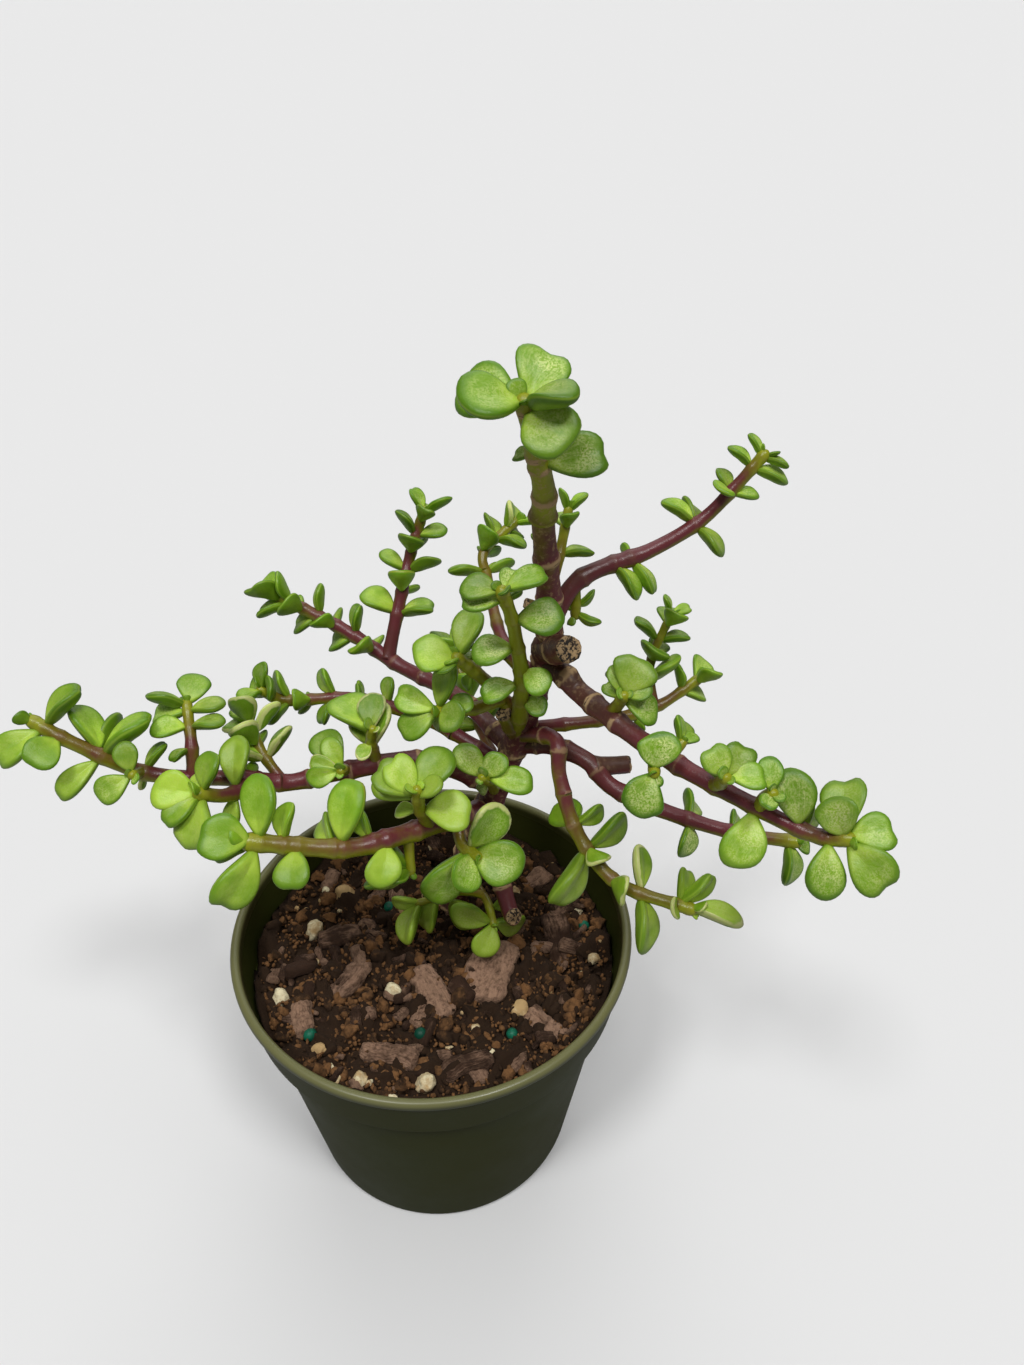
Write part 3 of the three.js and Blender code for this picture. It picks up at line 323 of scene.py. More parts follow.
     "thick": 3.4, "thin": 2.6, "set": [
         (9, -10, 110, 6, 0.8), (9, -170, 80, 12, 1), (14, 0, 80, 10.5, 1), (15, 35, 50, 10.5, 1),
         (15, 35, 90, 11.5, 0.95), (15, 125, 60, 12, 1), (15, 180, 35, 8, 0.9)]},
    {"name": "centre_back", "from": "trunk", "at": 74, "route": [(16, 6, 124), (14, 0, 131)],
     "thick": 3.2, "thin": 2.4, "set": [
         (18, -30, 125, 4, 0.9), (22, -165, 95, 11, 0.8), (22, 70, 55, 10, 0.85), (22, 140, 65, 7, 1.1)]},
    {"name": "front_low", "from": "left_front", "at": 21, "route": [(9, -5, 114), (13, -9, 114)],
     "thick": 3.4, "thin": 2.6, "set": [
         (9, 130, 80, 13, 1), (9, -25, 100, 15, 0.9), (10, -150, 20, 13, 1.1), (10, -15, 65, 9.5, 1.2),
         (10, 180, 90, 5, 0.9)]},
    {"name": "soil_shoot", "from": "trunk", "at": 40, "route": [(14, 7, 81), (16, 0, 79)],
     "thick": 2.8, "thin": 2, "set": [
         (17, 175, 105, 5.5, 1.1), (20, 5, 120, 12, 1), (21, 15, 105, 12, 0.85), (21, -40, 35, 9, 1.15),
         (21, 165, 90, 10, 0.95)]},
    {"name": "soil_shoot_left", "with": "soil_shoot", "from": "soil_shoot", "at": 12,
     "route": [(7, 6, 85), (-4, 3, 84)],
     "thick": 2.2, "thin": 1.8, "set": [
         (14, -120, 55, 9.5, 1.1), (15, 5, 145, 4.5, 0.9), (20, 45, 15, 7.5, 0.9), (20, -140, 50, 11, 0.95)]},
]


# ---------------------------------------------------------------- growth rule

def draw(number):
    """A repeatable draw from 0 to 1 for a number."""
    wide = math.sin(number * 12.9898) * 43758.5453
    return wide - math.floor(wide)


def unit(vector):
    return vector / np.linalg.norm(vector)


class StemPath:
    """The smooth curve that a stem follows, walked by shares of its length."""

    def __init__(self, points):
        self.points = np.array(points, float)
        steps = np.array([self.at(i / CURVE_STEPS) for i in range(CURVE_STEPS + 1)])
        self.lengths = np.concatenate([[0], np.cumsum(np.linalg.norm(np.diff(steps, axis=0), axis=1))])
        self.length = float(self.lengths[-1])
        chord = unit(self.points[-1] - self.points[0])
        self.upright = np.array((0.0, 1, 0)) if abs(chord[2]) > 0.7 else np.array((0.0, 0, 1))

    def at(self, place):
        points = self.points
        last = len(points) - 1
        low = min(int(math.floor(last * place)), last - 1)
        part = last * place - low
        before = points[low - 1] if low > 0 else 2 * points[0] - points[1]
        after = points[low + 2] if low + 2 <= last else 2 * points[last] - points[last - 1]
        start, end = points[low], points[low + 1]
        leave, arrive = 0.5 * (end - before), 0.5 * (after - start)
        return (start + leave * part + (-3 * start + 3 * end - 2 * leave - arrive) * part ** 2
                + (2 * start - 2 * end + leave + arrive) * part ** 3)

    def place(self, share):
        return float(np.interp(min(max(share, 0), 1) * self.length, self.lengths,
                               np.linspace(0, 1, CURVE_STEPS + 1)))

    def point(self, share):
        return self.at(self.place(share))

    def axes(self, share):
        place = self.place(share)
        along = unit(self.at(min(place + 1e-4, 1)) - self.at(max(place - 1e-4, 0)))
        side = unit(np.cross(along, self.upright))
        return along, side, np.cross(side, along)


def stem_radius(stem, share):
    return 0.5 * (stem["thick"] + (stem["thin"] - stem["thick"]) * share)


def node_of(stem):
    """The name of the node that a leafy stem is part of."""
    return stem.get("with", stem["name"])


def share_at(stem, at):
    """The share of a stem's length for a distance along it, kept back from its very end."""
    length = stem["path"].length
    return min(at, length - TIP_INSET) / length


def node_shares(stem):
    """Shares of a stem's length where its leaves sit: as listed, or closer together towards the tip."""
    if "pairs" not in stem:
        return sorted({share_at(stem, leaf[0]) for leaf in stem.get("set", [])})
    bare = stem["bare"] / stem["path"].length
    leafy = share_at(stem, stem["path"].length) - bare
    steps = [k / (stem["pairs"] - 1) for k in range(stem["pairs"])]
    return [bare + leafy * (1 - (1 - step) ** CROWDING) for step in steps]


def wished_leaves(stem, seed):
    """The leaves that a stem would grow, before any of them bends clear: those listed one by one, or
    opposite pairs, each a quarter turn on from the last and half closed at the tip."""
    if "set" in stem:
        for k, (at, turn, opening, long, broad, *roll) in enumerate(stem["set"]):
            key = 100 * seed + k
            yield {"share": share_at(stem, at), "turn": turn, "open": opening, "long": long, "broad": broad,
                   "twist": roll[0] if roll else SET_TWIST_SHARE * TWIST_JITTER * (draw(key + 0.8) - 0.5),
                   "lift": 0, "key": key, "pair": f"{stem['name']} {at}"}
        return
    for k, share in enumerate(node_shares(stem)):
        step = k / (stem["pairs"] - 1)
        usual = stem["leaf"] + (stem["small"] - stem["leaf"]) * step
        opening = OPEN_LOW + (OPEN_TIP - OPEN_LOW) * step ** 2
        for half in (0, 1):
            key = 100 * seed + 10 * k + half
            yield {"share": share,
                   "turn": stem["turn"] + 90 * k + 180 * half + TURN_JITTER * (draw(key) - 0.5),
                   "open": opening + OPEN_JITTER * (draw(key + 0.3) - 0.5),
                   "long": usual * (1 + SIZE_JITTER * (draw(key + 0.6) - 0.5)),
                   "broad": 1 + BROAD_JITTER * (draw(key + 0.9) - 0.5),
                   "twist": TWIST_JITTER * (draw(key + 0.8) - 0.5), "lift": TIP_LIFT, "key": key,
                   "pair": f"{stem['name']} {k}"}


def leaf_place(stem, wish, shrink, opened, swing):
    """A leaf's root, direction, way across and upper face, for a wished leaf bent by so much."""
    along, side, over = stem["path"].axes(wish["share"])
    angle, opening = math.radians(wish["turn"] + swing), math.radians(wish["open"] + opened)
    out = side * math.cos(angle) + over * math.sin(angle)
    tip = along * math.cos(opening) + out * math.sin(opening)
    face = along * math.sin(opening) - out * math.cos(opening) + LIGHT * LIGHT_PULL
    tip = unit(tip + (0, 0, wish["lift"]))
    face = unit(face - tip * face.dot(tip))
    twist = math.radians(wish["twist"])
    face = face * math.cos(twist) + np.cross(tip, face) * math.sin(twist)
    radius = stem_radius(stem, wish["share"])
    root = stem["path"].point(wish["share"]) + out * 0.25 * radius
    return {"root": root, "tip": tip, "face": face, "across": np.cross(tip, face),
            "length": shrink * wish["long"] + 0.7 * radius, "broad": wish["broad"], "key": wish["key"],
            "stem": stem["name"]}


def leaf_balls(place, half_width, narrowing):
    """Centres of small balls spread over a leaf, and whether each is near its root."""
    spots = [(0.0, 0.0)]
    for count, far in ((5, 0.45), (9, 0.84)):
        for i in range(count):
            angle = (i + 0.5) / count * 2 * math.pi - 0.5 * math.pi
            spots.append((far * math.cos(angle), far * math.sin(angle)))
    u, v = np.array(spots).T
    along = 0.5 * (v + 1)
    wide = half_width * place["broad"] * (1 - narrowing * (1 - along) ** 1.5) * u
    bent = LEAF_CUP * u * u - LEAF_ARCH * along * along + 0.5 * LEAF_ARCH * along
    share = np.outer(wide, place["across"]) + np.outer(along, place["tip"]) + np.outer(bent, place["face"])
    return place["root"] + place["length"] * share, v < -0.5


class Crowd:
    """Balls that stand for every stem and leaf already placed."""

    def __init__(self):
        self.centres, self.reaches, self.solids, self.pairs = [], [], [], []

    def add(self, centres, reaches, solid, pair=""):
        self.centres.append(centres)
        self.reaches.append(np.broadcast_to(reaches, len(centres)))
        self.solids += [solid] * len(centres)
        self.pairs += [pair] * len(centres)

    def freeze(self):
        balls = np.concatenate(self.centres), np.concatenate(self.reaches)
        return *balls, np.array(self.solids), np.array(self.pairs)


def is_clear(balls, reach, crowd, solid, pair):
    """Whether a leaf keeps off what is already there; within one solid it may come closer."""
    centres, near_root = balls
    if (centres[:, 2] - reach < LEAF_FLOOR_Z).any():
        return False
    others, reaches, solids, pairs = crowd
    own = solids == solid
    needed = np.where(own, OWN_STEM_CLOSENESS, 1.0) * (reach + reaches)
    gaps = np.linalg.norm(centres[:, None, :] - others[None, :, :], axis=2)
    ignored = (pairs == pair)[None, :] | (near_root[:, None] & own[None, :])
    return bool(((gaps > needed[None, :]) | ignored).all())


def free_place(stem, wish, crowd, solid, shape):
    """The first place near the wished one where a leaf is clear, with its balls, or nothing."""
    for shrink in SHRINKS:
        for opened in OPENINGS:
            for swing in SWINGS:
                place = leaf_place(stem, wish, shrink, opened, swing)
                balls = leaf_balls(place, *shape)
                if is_clear(balls, BALL_SHARE * place["length"], crowd, solid, wish["pair"]):
                    return place, balls
    return None


def grow_leaves(stem, seed, crowd, shape):
    """Sets a stem's leaves where they are clear of all that stands already; one without room has dropped."""
    solid = node_of(stem)
    for wish in wished_leaves(stem, seed):
        found = free_place(stem, wish, crowd.freeze(), solid, shape)
        if found:
            place, balls = found
            crowd.add(balls[0], BALL_SHARE * place["length"], solid, wish["pair"])
            yield place


def grow_plant(shape):
    """Every leaf's place, under the name of the node that holds it."""
    paths = {}
    for stem in (TRUNK, *STUBS, *STEMS):
        parent = paths.get(stem.get("from"))
        start = [parent.point(stem["at"] / parent.length)] if parent else []
        stem["path"] = paths[stem["name"]] = StemPath([*start, *stem["route"]])
    crowd = Crowd()
    for stem in (TRUNK, *STUBS, *STEMS):
        count = math.ceil(stem["path"].length / BALL_SPACING)
        shares = [i / count for i in range(count + 1)]
        crowd.add(np.array([stem["path"].point(share) for share in shares]),
                  np.array([NODE_SWELL * stem_radius(stem, share) + 0.2 for share in shares]),
                  node_of(stem) if stem in STEMS else "trunk")
    leaves = {node_of(stem): [] for stem in STEMS}
    for by_hand in (True, False):
        for seed, stem in enumerate(STEMS, start=1):
            if ("set" in stem) == by_hand:
                leaves[node_of(stem)] += grow_leaves(stem, seed, crowd, shape)
    return leaves


# ---------------------------------------------------------------- node helpers

def put(tree, kind, inputs=None, **settings):
    """Adds a node. inputs maps a socket's name or number to a value or to another node's output."""
    node = tree.nodes.new(kind)
    for key, value in settings.items():
        setattr(node, key, value)
    for key, value in (inputs or {}).items():
        if isinstance(value, bpy.types.NodeSocket):
            tree.links.new(value, node.inputs[key])
        else:
            node.inputs[key].default_value = value
    return node


def geometry(tree, kind, inputs=None, **settings):
    """The first output of a new geometry node."""
    return put(tree, "GeometryNode" + kind, inputs, **settings).outputs[0]


def maths(tree, operation, first, second=0.0, third=0.0, clamp=False):
    node = put(tree, "ShaderNodeMath", {0: first, 1: second, 2: third}, operation=operation, use_clamp=clamp)
    return node.outputs[0]


def plus(tree, first, second):
    return maths(tree, "ADD", first, second)


def minus(tree, first, second):
    return maths(tree, "SUBTRACT", first, second)


def product(tree, first, *others):
    for value in others:
        first = maths(tree, "MULTIPLY", first, value)
    return first


def scaled(tree, value, factor, offset):
    """A value times a factor, plus an offset."""
    return maths(tree, "MULTIPLY_ADD", value, factor, offset)


def vectors(tree, operation, *values):
    return put(tree, "ShaderNodeVectorMath", dict(enumerate(values)), operation=operation).outputs[0]


def resized(tree, vector, factor):
    """A vector made longer or shorter."""
    return put(tree, "ShaderNodeVectorMath", {0: vector, "Scale": factor}, operation="SCALE").outputs[0]


def parts_of(tree, vector):
    """A vector's x, y and z."""
    return put(tree, "ShaderNodeSeparateXYZ", {0: vector}).outputs


def vector_of(tree, x, y=0.0, z=0.0):
    return put(tree, "ShaderNodeCombineXYZ", {0: x, 1: y, 2: z}).outputs[0]


def ramp(tree, value, low, high, to_low=0.0, to_high=1.0):
    """A value eased from one range to another."""
    node = put(tree, "ShaderNodeMapRange", {"Value": value, 1: low, 2: high, 3: to_low, 4: to_high},
               interpolation_type="SMOOTHSTEP")
    return node.outputs[0]


def blend(tree, share, *colours):
    """Two colours mixed by a share, each a plain one or another node's."""
    first, second = (value if isinstance(value, bpy.types.NodeSocket) else (*value, 1) for value in colours)
    node = put(tree, "ShaderNodeMix", {0: share, 6: first, 7: second}, data_type="RGBA")
    return node.outputs[2]


def grain_noise(tree, vector, scale, detail=3.0, roughness=0.55, distortion=0.0):
    node = put(tree, "ShaderNodeTexNoise", {"Vector": vector, "Scale": scale, "Detail": detail,
                                            "Roughness": roughness, "Distortion": distortion})
    return node.outputs[0]


def named(tree, name, data_type="FLOAT"):
    return geometry(tree, "InputNamedAttribute", {"Name": name}, data_type=data_type)


def named_vector(tree, name):
    return named(tree, name, "FLOAT_VECTOR")


def geometry_tree(name, **labels):
    """An empty Geometry Nodes tree. labels lists its inputs' names under their kind of socket."""
    tree = bpy.data.node_groups.new(name, "GeometryNodeTree")
    tree.interface.new_socket("Geometry", in_out="INPUT", socket_type="NodeSocketGeometry")
    for kind, inputs in labels.items():
        for label in inputs:
            tree.interface.new_socket(label, in_out="INPUT", socket_type="NodeSocket" + kind)
    tree.interface.new_socket("Geometry", in_out="OUTPUT", socket_type="NodeSocketGeometry")
    tree.is_modifier = True
    return tree, tree.nodes.new("NodeGroupInput").outputs


def close_tree(tree, shape, material, selection=None, second=None):
    """Ends a tree: instances made real, then the material, and a second one where it is selected."""
    shape = geometry(tree, "RealizeInstances", {"Geometry": shape})
    shape = geometry(tree, "SetMaterial", {"Geometry": shape, "Material": material})
    if selection is not None:
        shape = geometry(tree, "SetMaterial", {"Geometry": shape, "Selection": selection, "Material": second})
    put(tree, "NodeGroupOutput", {0: shape})


def mesh_with(name, points, edges=(), **attributes):
    """A mesh with one value or vector for each of its points under each attribute's name."""
    mesh = bpy.data.meshes.new(name)
    mesh.from_pydata([tuple(point) for point in points], edges, ())
    for label, values in attributes.items():
        values = np.array(values, np.float32)
        vector = values.ndim == 2
        layer = mesh.attributes.new(label, "FLOAT_VECTOR" if vector else "FLOAT", "POINT")
        layer.data.foreach_set("vector" if vector else "value", values.ravel())
    return mesh


def link_piece(name, data):
    """A new object in the scene for a mesh, a camera or a light."""
    piece = bpy.data.objects.new(name, data)
    bpy.context.scene.collection.objects.link(piece)
    return piece


def made_by_tree(name, mesh, tree, values):
    """Runs a tree on a mesh and returns the result as a plain piece. values has all of its inputs."""
    piece = link_piece(name, mesh)
    modifier = piece.modifiers.new("build", "NODES")
    modifier.node_group = tree
    labels = {item.name: item.identifier for item in tree.interface.items_tree if item.in_out == "INPUT"}
    for label, value in values.items():
        modifier[labels[label]] = value
    graph = bpy.context.evaluated_depsgraph_get()
    plain = bpy.data.meshes.new_from_object(piece.evaluated_get(graph))
    piece.modifiers.clear()
    piece.data = plain
    plain.name = name
    bpy.data.meshes.remove(mesh)
    return piece


def built_mesh(name, build):
    """A mesh built with bmesh."""
    mesh = bpy.data.meshes.new(name)
    shape = bmesh.new()
    build(shape)
    bmesh.ops.recalc_face_normals(shape, faces=shape.faces)
    shape.to_mesh(mesh)
    shape.free()
    return mesh


def settle(piece, slot, *nodes):
    """Seats a finished piece on the part and hides the solids of the nodes it stands for."""
    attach(piece, BODY)
    if nodes:
        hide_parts(*nodes)


# ---------------------------------------------------------------- materials

def surface_socket(shader, label):
    """A shader's input, under its name in small letters with underscores."""
    return shader.inputs[label.replace("_", " ").title().replace("Ior", "IOR")]


def new_material(name, **surface):
    """A material, its tree and its shader, with plain values set on the shader itself."""
    material = bpy.data.materials.new(name)
    material.use_nodes = True
    tree = material.node_tree
    shader = tree.nodes["Principled BSDF"]
    for label, value in surface.items():
        surface_socket(shader, label).default_value = value
    return material, tree, shader


def feed(tree, shader, **surface):
    """Joins other nodes' outputs to a shader."""
    for label, value in surface.items():
        tree.links.new(value, surface_socket(shader, label))


def grain_group():
    """Fine grain shared by the pot, the stems, the leaves and the soil: a mask and a height."""
    group = bpy.data.node_groups.new("fine_grain", "ShaderNodeTree")
    for label, kind in (("Vector", "Vector"), ("Scale", "Float"), ("Low", "Float"), ("High", "Float")):
        group.interface.new_socket(label, in_out="INPUT", socket_type="NodeSocket" + kind)
    for label in ("Mask", "Height"):
        group.interface.new_socket(label, in_out="OUTPUT", socket_type="NodeSocketFloat")
    inputs = group.nodes.new("NodeGroupInput").outputs
    coarse = grain_noise(group, inputs["Vector"], inputs["Scale"], 4, 0.6)
    fine = grain_noise(group, inputs["Vector"], product(group, inputs["Scale"], 3.7), 2, 0.5)
    put(group, "NodeGroupOutput", {"Mask": ramp(group, coarse, inputs["Low"], inputs["High"]),
                                   "Height": scaled(group, fine, 0.35, product(group, coarse, 0.65))})
    return group


def own_place(tree):
    """A point's place in its piece's own frame."""
    return put(tree, "ShaderNodeTexCoord").outputs["Object"]


def grain(tree, scale, low, high):
    """The fine grain on a surface's own coordinates."""
    group = bpy.data.node_groups.get("fine_grain") or grain_group()
    node = put(tree, "ShaderNodeGroup", node_tree=group)
    tree.links.new(own_place(tree), node.inputs["Vector"])
    for label, value in (("Scale", scale), ("Low", low), ("High", high)):
        node.inputs[label].default_value = value
    return node.outputs["Mask"], node.outputs["Height"]


def add_bump(tree, shader, height, strength, distance):
    node = put(tree, "ShaderNodeBump", {"Height": height, "Strength": strength, "Distance": distance})
    feed(tree, shader, normal=node.outputs[0])


def shader_attribute(tree, name, output="Fac"):
    return put(tree, "ShaderNodeAttribute", attribute_name=name).outputs[output]


def leaf_material(leaf):
    """Fleshy green, brighter at the root, darker at the margin and mottled with cream above."""
    material, tree, shader = new_material(
        "jade_leaf", specular_ior_level=leaf.shine, subsurface_weight=0.1, subsurface_scale=0.0012,
        subsurface_radius=(0.5, 1.0, 0.08))
    across, along, through = parts_of(tree, shader_attribute(tree, "leaf_uvw", "Vector"))
    tint, cream, young, rim = (shader_attribute(tree, "leaf_" + name)
                               for name in ("tint", "cream", "young", "rim"))
    patches = grain_noise(tree, own_place(tree), 230, 3)
    centred = minus(tree, patches, 0.5)
    flat = vector_of(tree, across, along)
    reach = put(tree, "ShaderNodeVectorMath", {0: flat}, operation="LENGTH").outputs["Value"]
    uneven = scaled(tree, centred, 0.5, reach)
    margin = ramp(tree, uneven, 0.5, 0.95)
    upper = ramp(tree, through, -0.5, 0.45)
    ripe = plus(tree, ramp(tree, along, -1.0, 0.2, 0.75, -0.1), plus(tree, young, centred))
    body = blend(tree, ramp(tree, ripe, 0.1, 0.95), leaf.middle_colour, leaf.fresh_colour)
    body = blend(tree, product(tree, minus(tree, 1.0, upper), 0.6), body, leaf.under_colour)
    shaded = product(tree, margin, margin, scaled(tree, young, -0.7, 0.95))
    body = blend(tree, shaded, body, leaf.deep_colour)
    # Streaks run from the root towards the margin, and fine speckles lie over them.
    sideways, lengthwise = product(tree, across, 9.0), product(tree, along, 2.4)
    streak_place = vector_of(tree, sideways, lengthwise, product(tree, tint, 23.0))
    streaks = ramp(tree, grain_noise(tree, streak_place, 1.4, 5, 0.7, 0.6), 0.44, 0.6)
    speckles, pebbles = grain(tree, 2600, 0.45, 0.55)
    speckled = product(tree, speckles, scaled(tree, ramp(tree, patches, 0.38, 0.58), 0.85, 0.15))
    marked = product(tree, scaled(tree, streaks, 0.45, speckled), minus(tree, 1.0, margin))
    shown = product(tree, scaled(tree, upper, 0.8, 0.2), cream)
    body = blend(tree, maths(tree, "MULTIPLY", marked, shown, clamp=True), body, leaf.cream_colour)
    body = blend(tree, product(tree, ramp(tree, uneven, 0.8, 0.9), rim), body, leaf.rim_colour)
    # A thin painted highlight, paler green, follows the edge, and on a few leaves the same line is rosy.
    edge = ramp(tree, maths(tree, "ABSOLUTE", plus(tree, through, 0.05)), 0.0, 0.2, 1.0, 0.0)
    body = blend(tree, product(tree, edge, 0.45), body, leaf.fresh_colour)
    rosy = product(tree, ramp(tree, tint, 0.8, 1.0, 0.0, 0.45), ramp(tree, along, 0.1, 0.8))
    body = blend(tree, product(tree, edge, rosy), body, leaf.edge_colour)
    lightness = scaled(tree, tint, 0.5, 0.76)
    body = put(tree, "ShaderNodeHueSaturation", {"Value": lightness, "Color": body}).outputs[0]
    feed(tree, shader, base_color=body, roughness=ramp(tree, pebbles, 0.3, 0.7, 0.27, 0.4))
    add_bump(tree, shader, scaled(tree, patches, 3.0, pebbles), 0.5, 0.00016)
    return material


def bark_material(stems):
    """Purple-brown where old, maroon where ripe and olive where young, with tan cracks at the nodes."""
    material, tree, shader = new_material("jade_bark", specular_ior_level=stems.shine)
    wood, age, gap, cut = (shader_attribute(tree, "stem_" + name) for name in ("wood", "age", "gap", "cut"))
    spot = own_place(tree)
    patches = grain_noise(tree, spot, 170, 4, 0.6)
    normal = put(tree, "ShaderNodeNewGeometry").outputs["Normal"]
    upward = ramp(tree, parts_of(tree, normal)[2], -0.5, 0.6)
    lit_age = scaled(tree, upward, 0.4, minus(tree, age, 0.14))
    aged = scaled(tree, minus(tree, patches, 0.5), 0.55, lit_age)
    body = blend(tree, ramp(tree, aged, 0.1, 0.4), stems.young_colour, stems.green_colour)
    body = blend(tree, ramp(tree, aged, 0.36, 0.62), body, stems.flush_colour)
    body = blend(tree, ramp(tree, aged, 0.75, 1.15), body, stems.old_colour)
    flakes, height = grain(tree, 900, 0.5, 0.66)
    body = blend(tree, product(tree, flakes, ramp(tree, wood, 0.5, 1.0, 0.0, 0.5)), body, stems.crack_colour)
    # Each node has a soft tan collar, and old ones a dry crack with a dark line under it.
    narrowed = maths(tree, "DIVIDE", gap, scaled(tree, wood, 0.95, 0.5))
    wavy = scaled(tree, minus(tree, grain_noise(tree, spot, 420, 3), 0.5), 1.1, narrowed)
    collar = ramp(tree, wavy, 0.2, 1.1, 1.0, 0.0)
    body = blend(tree, product(tree, collar, 0.14), body, stems.collar_colour)
    torn = ramp(tree, grain_noise(tree, spot, 260, 2), 0.4, 0.5)
    dry = product(tree, ramp(tree, wavy, 0.25, 0.7, 1.0, 0.0), torn, ramp(tree, wood, 0.35, 0.7))
    body = blend(tree, dry, body, stems.crack_colour)
    body = blend(tree, product(tree, ramp(tree, wavy, -0.12, 0.02, 1.0, 0.0), dry), body, stems.pith_colour)
    ragged = ramp(tree, grain_noise(tree, spot, 1100, 4, 0.7), 0.44, 0.56)
    body = blend(tree, cut, body, blend(tree, ragged, stems.pith_colour, stems.crack_colour))
    dull = plus(tree, maths(tree, "MAXIMUM", cut, dry), product(tree, wood, height))
    feed(tree, shader, base_color=body, roughness=ramp(tree, dull, 0.1, 0.9, 0.3, 0.75))
    add_bump(tree, shader, scaled(tree, dry, 0.6, height), 0.4, 0.0003)
    return material


def pot_material(name, pot, shine, roughness):
    """Dark olive moulded plastic, paler along the lip as a painted highlight, with fine pale dust specks."""
    material, tree, shader = new_material(name, specular_ior_level=shine)
    spot = own_place(tree)
    clouds = grain_noise(tree, spot, 28, 4, 0.6)
    specks, fine = grain(tree, 2200, 0.62, 0.75)
    body = blend(tree, ramp(tree, clouds, 0.35, 0.7), pot.colour, pot.warm_colour)
    # The lip is painted paler all round as a painted highlight; the fine pale dust specks over the wall take
    # the same colour.
    up = scaled(tree, clouds, 0.0012, parts_of(tree, spot)[2])
    lip = ramp(tree, up, (POT_HEIGHT - LIP_DEPTH + 1.4) * MM, (POT_HEIGHT + 0.2) * MM)
    body = blend(tree, lip, body, pot.lip_highlight_and_dust_colour)
    body = blend(tree, product(tree, specks, 0.25), body, pot.lip_highlight_and_dust_colour)
    dull = ramp(tree, clouds, 0.2, 0.8, roughness - 0.07, roughness + 0.07)
    feed(tree, shader, base_color=body, roughness=dull)
    add_bump(tree, shader, fine, 0.12, 0.0001)
    return material


def mix_material(name, dark, light, scale, roughness, bump, fibrous=False):
    """A rough natural surface in two colours, for the soil and what lies in it. Each lump has its own
    tint, and fibres run along the fibrous ones."""
    material, tree, shader = new_material(name, roughness=roughness, specular_ior_level=0.25)
    tint = shader_attribute(tree, "lump_tint")
    clouds = grain_noise(tree, own_place(tree), scale, 5, 0.65, 0.3)
    mask, height = grain(tree, 6 * scale, 0.45, 0.7)
    if fibrous:
        own_spot = shader_attribute(tree, "lump_spot", "Vector")
        stretched = vectors(tree, "MULTIPLY", own_spot, (2.2, 13.0, 13.0))
        laid = vectors(tree, "ADD", stretched, vector_of(tree, product(tree, tint, 37.0)))
        fibres = grain_noise(tree, laid, 1.0, 4, 0.7, 0.4)
        clouds = scaled(tree, fibres, 0.45, scaled(tree, clouds, 0.8, -0.12))
        height = plus(tree, height, product(tree, fibres, 1.5))
    lit = ramp(tree, plus(tree, clouds, scaled(tree, tint, 0.5, -0.22)), 0.38, 0.66)
    body = blend(tree, lit, dark, light)
    feed(tree, shader, base_color=blend(tree, product(tree, mask, 0.6), body, dark))
    add_bump(tree, shader, height, bump, 0.0006)
    return material


def floor_material(stage):
    """A plain pale matt floor, which gives back only part of its light to what stands on it."""
    material, tree, shader = new_material("studio_floor", roughness=0.9, specular_ior_level=0.0)
    seen = put(tree, "ShaderNodeLightPath").outputs["Is Camera Ray"]
    given_back = [stage.floor_bounce * part for part in stage.floor_colour]
    feed(tree, shader, base_color=blend(tree, seen, given_back, stage.floor_colour))
    return material


# ---------------------------------------------------------------- stems and leaves

def is_cut(stem):
    """Whether a stem is a leafless stub that ends in a cut."""
    return stem is not TRUNK and not node_shares(stem)


def stem_nodes(stem):
    """Distances in mm from the root at which a stem has a node, leafless ones included."""
    length = stem["path"].length
    if stem is TRUNK or is_cut(stem):
        spots = np.arange(6, length - 4, WOOD_NODE_STEP)
        return spots + [2.5 * (draw(7 * spot) - 0.5) for spot in spots]
    leafy = [share * length for share in node_shares(stem)]
    bare = np.arange(leafy[0] - BARE_NODE_STEP, 3.5, -BARE_NODE_STEP)
    return np.array([*[spot + 2 * (draw(3 * spot) - 0.5) for spot in bare], *leafy])


def stem_line(stem):
    """A stem's middle line: points in metres, radius, woodiness, age, mm to the nearest node, and cut end."""
    path = stem["path"]
    length = path.length
    nodes = stem_nodes(stem)
    cut_end = is_cut(stem)
    shares = np.linspace(0, 1, max(6, int(length / 0.6)) + 1)
    shares = np.unique(np.concatenate([shares, nodes[nodes > 0] / length]).clip(0, 1))
    last = len(shares) - 1
    points = [path.point(share) for share in shares]
    gaps = [float(np.min(np.abs(nodes - share * length))) if len(nodes) else NO_NODE_NEAR for share in shares]
    ringed = np.exp(-(np.array(gaps) / 1.1) ** 2)
    swell = 0.95 + 0.13 * np.exp(-np.array(gaps) / 2.2) + 0.08 * ringed
    flare = 1 + (0 if stem is TRUNK else 0.28) * np.exp(-shares * length / 1.4)
    radius = np.array([stem_radius(stem, share) for share in shares]) * swell * flare
    wood = np.clip((radius / swell / flare - 0.85) / 2.1, 0, 1) * (1 - 0.25 * shares)
    age = wood + FLUSH.get(stem["name"], 0)
    wood = wood + WOODY.get(stem["name"], 0)
    if not cut_end and stem is not TRUNK:
        age = age - 0.5 * np.exp((shares - 1) * length / 2.5)
    along = path.axes(1.0)[0]
    reach = 1 if cut_end else 0.5 * stem["thin"]
    for far, part in SAWN_END if cut_end else ROUND_END:
        points.append(points[last] + along * far * reach)
        radius = np.append(radius, radius[last] * part)
        wood, age = np.append(wood, wood[last]), np.append(age, age[last])
        gaps.append(9.0)
    cut = np.zeros(len(points))
    if cut_end:
        cut[last:] = 1
    return np.array(points) * MM, radius * MM, wood, age, gaps, cut


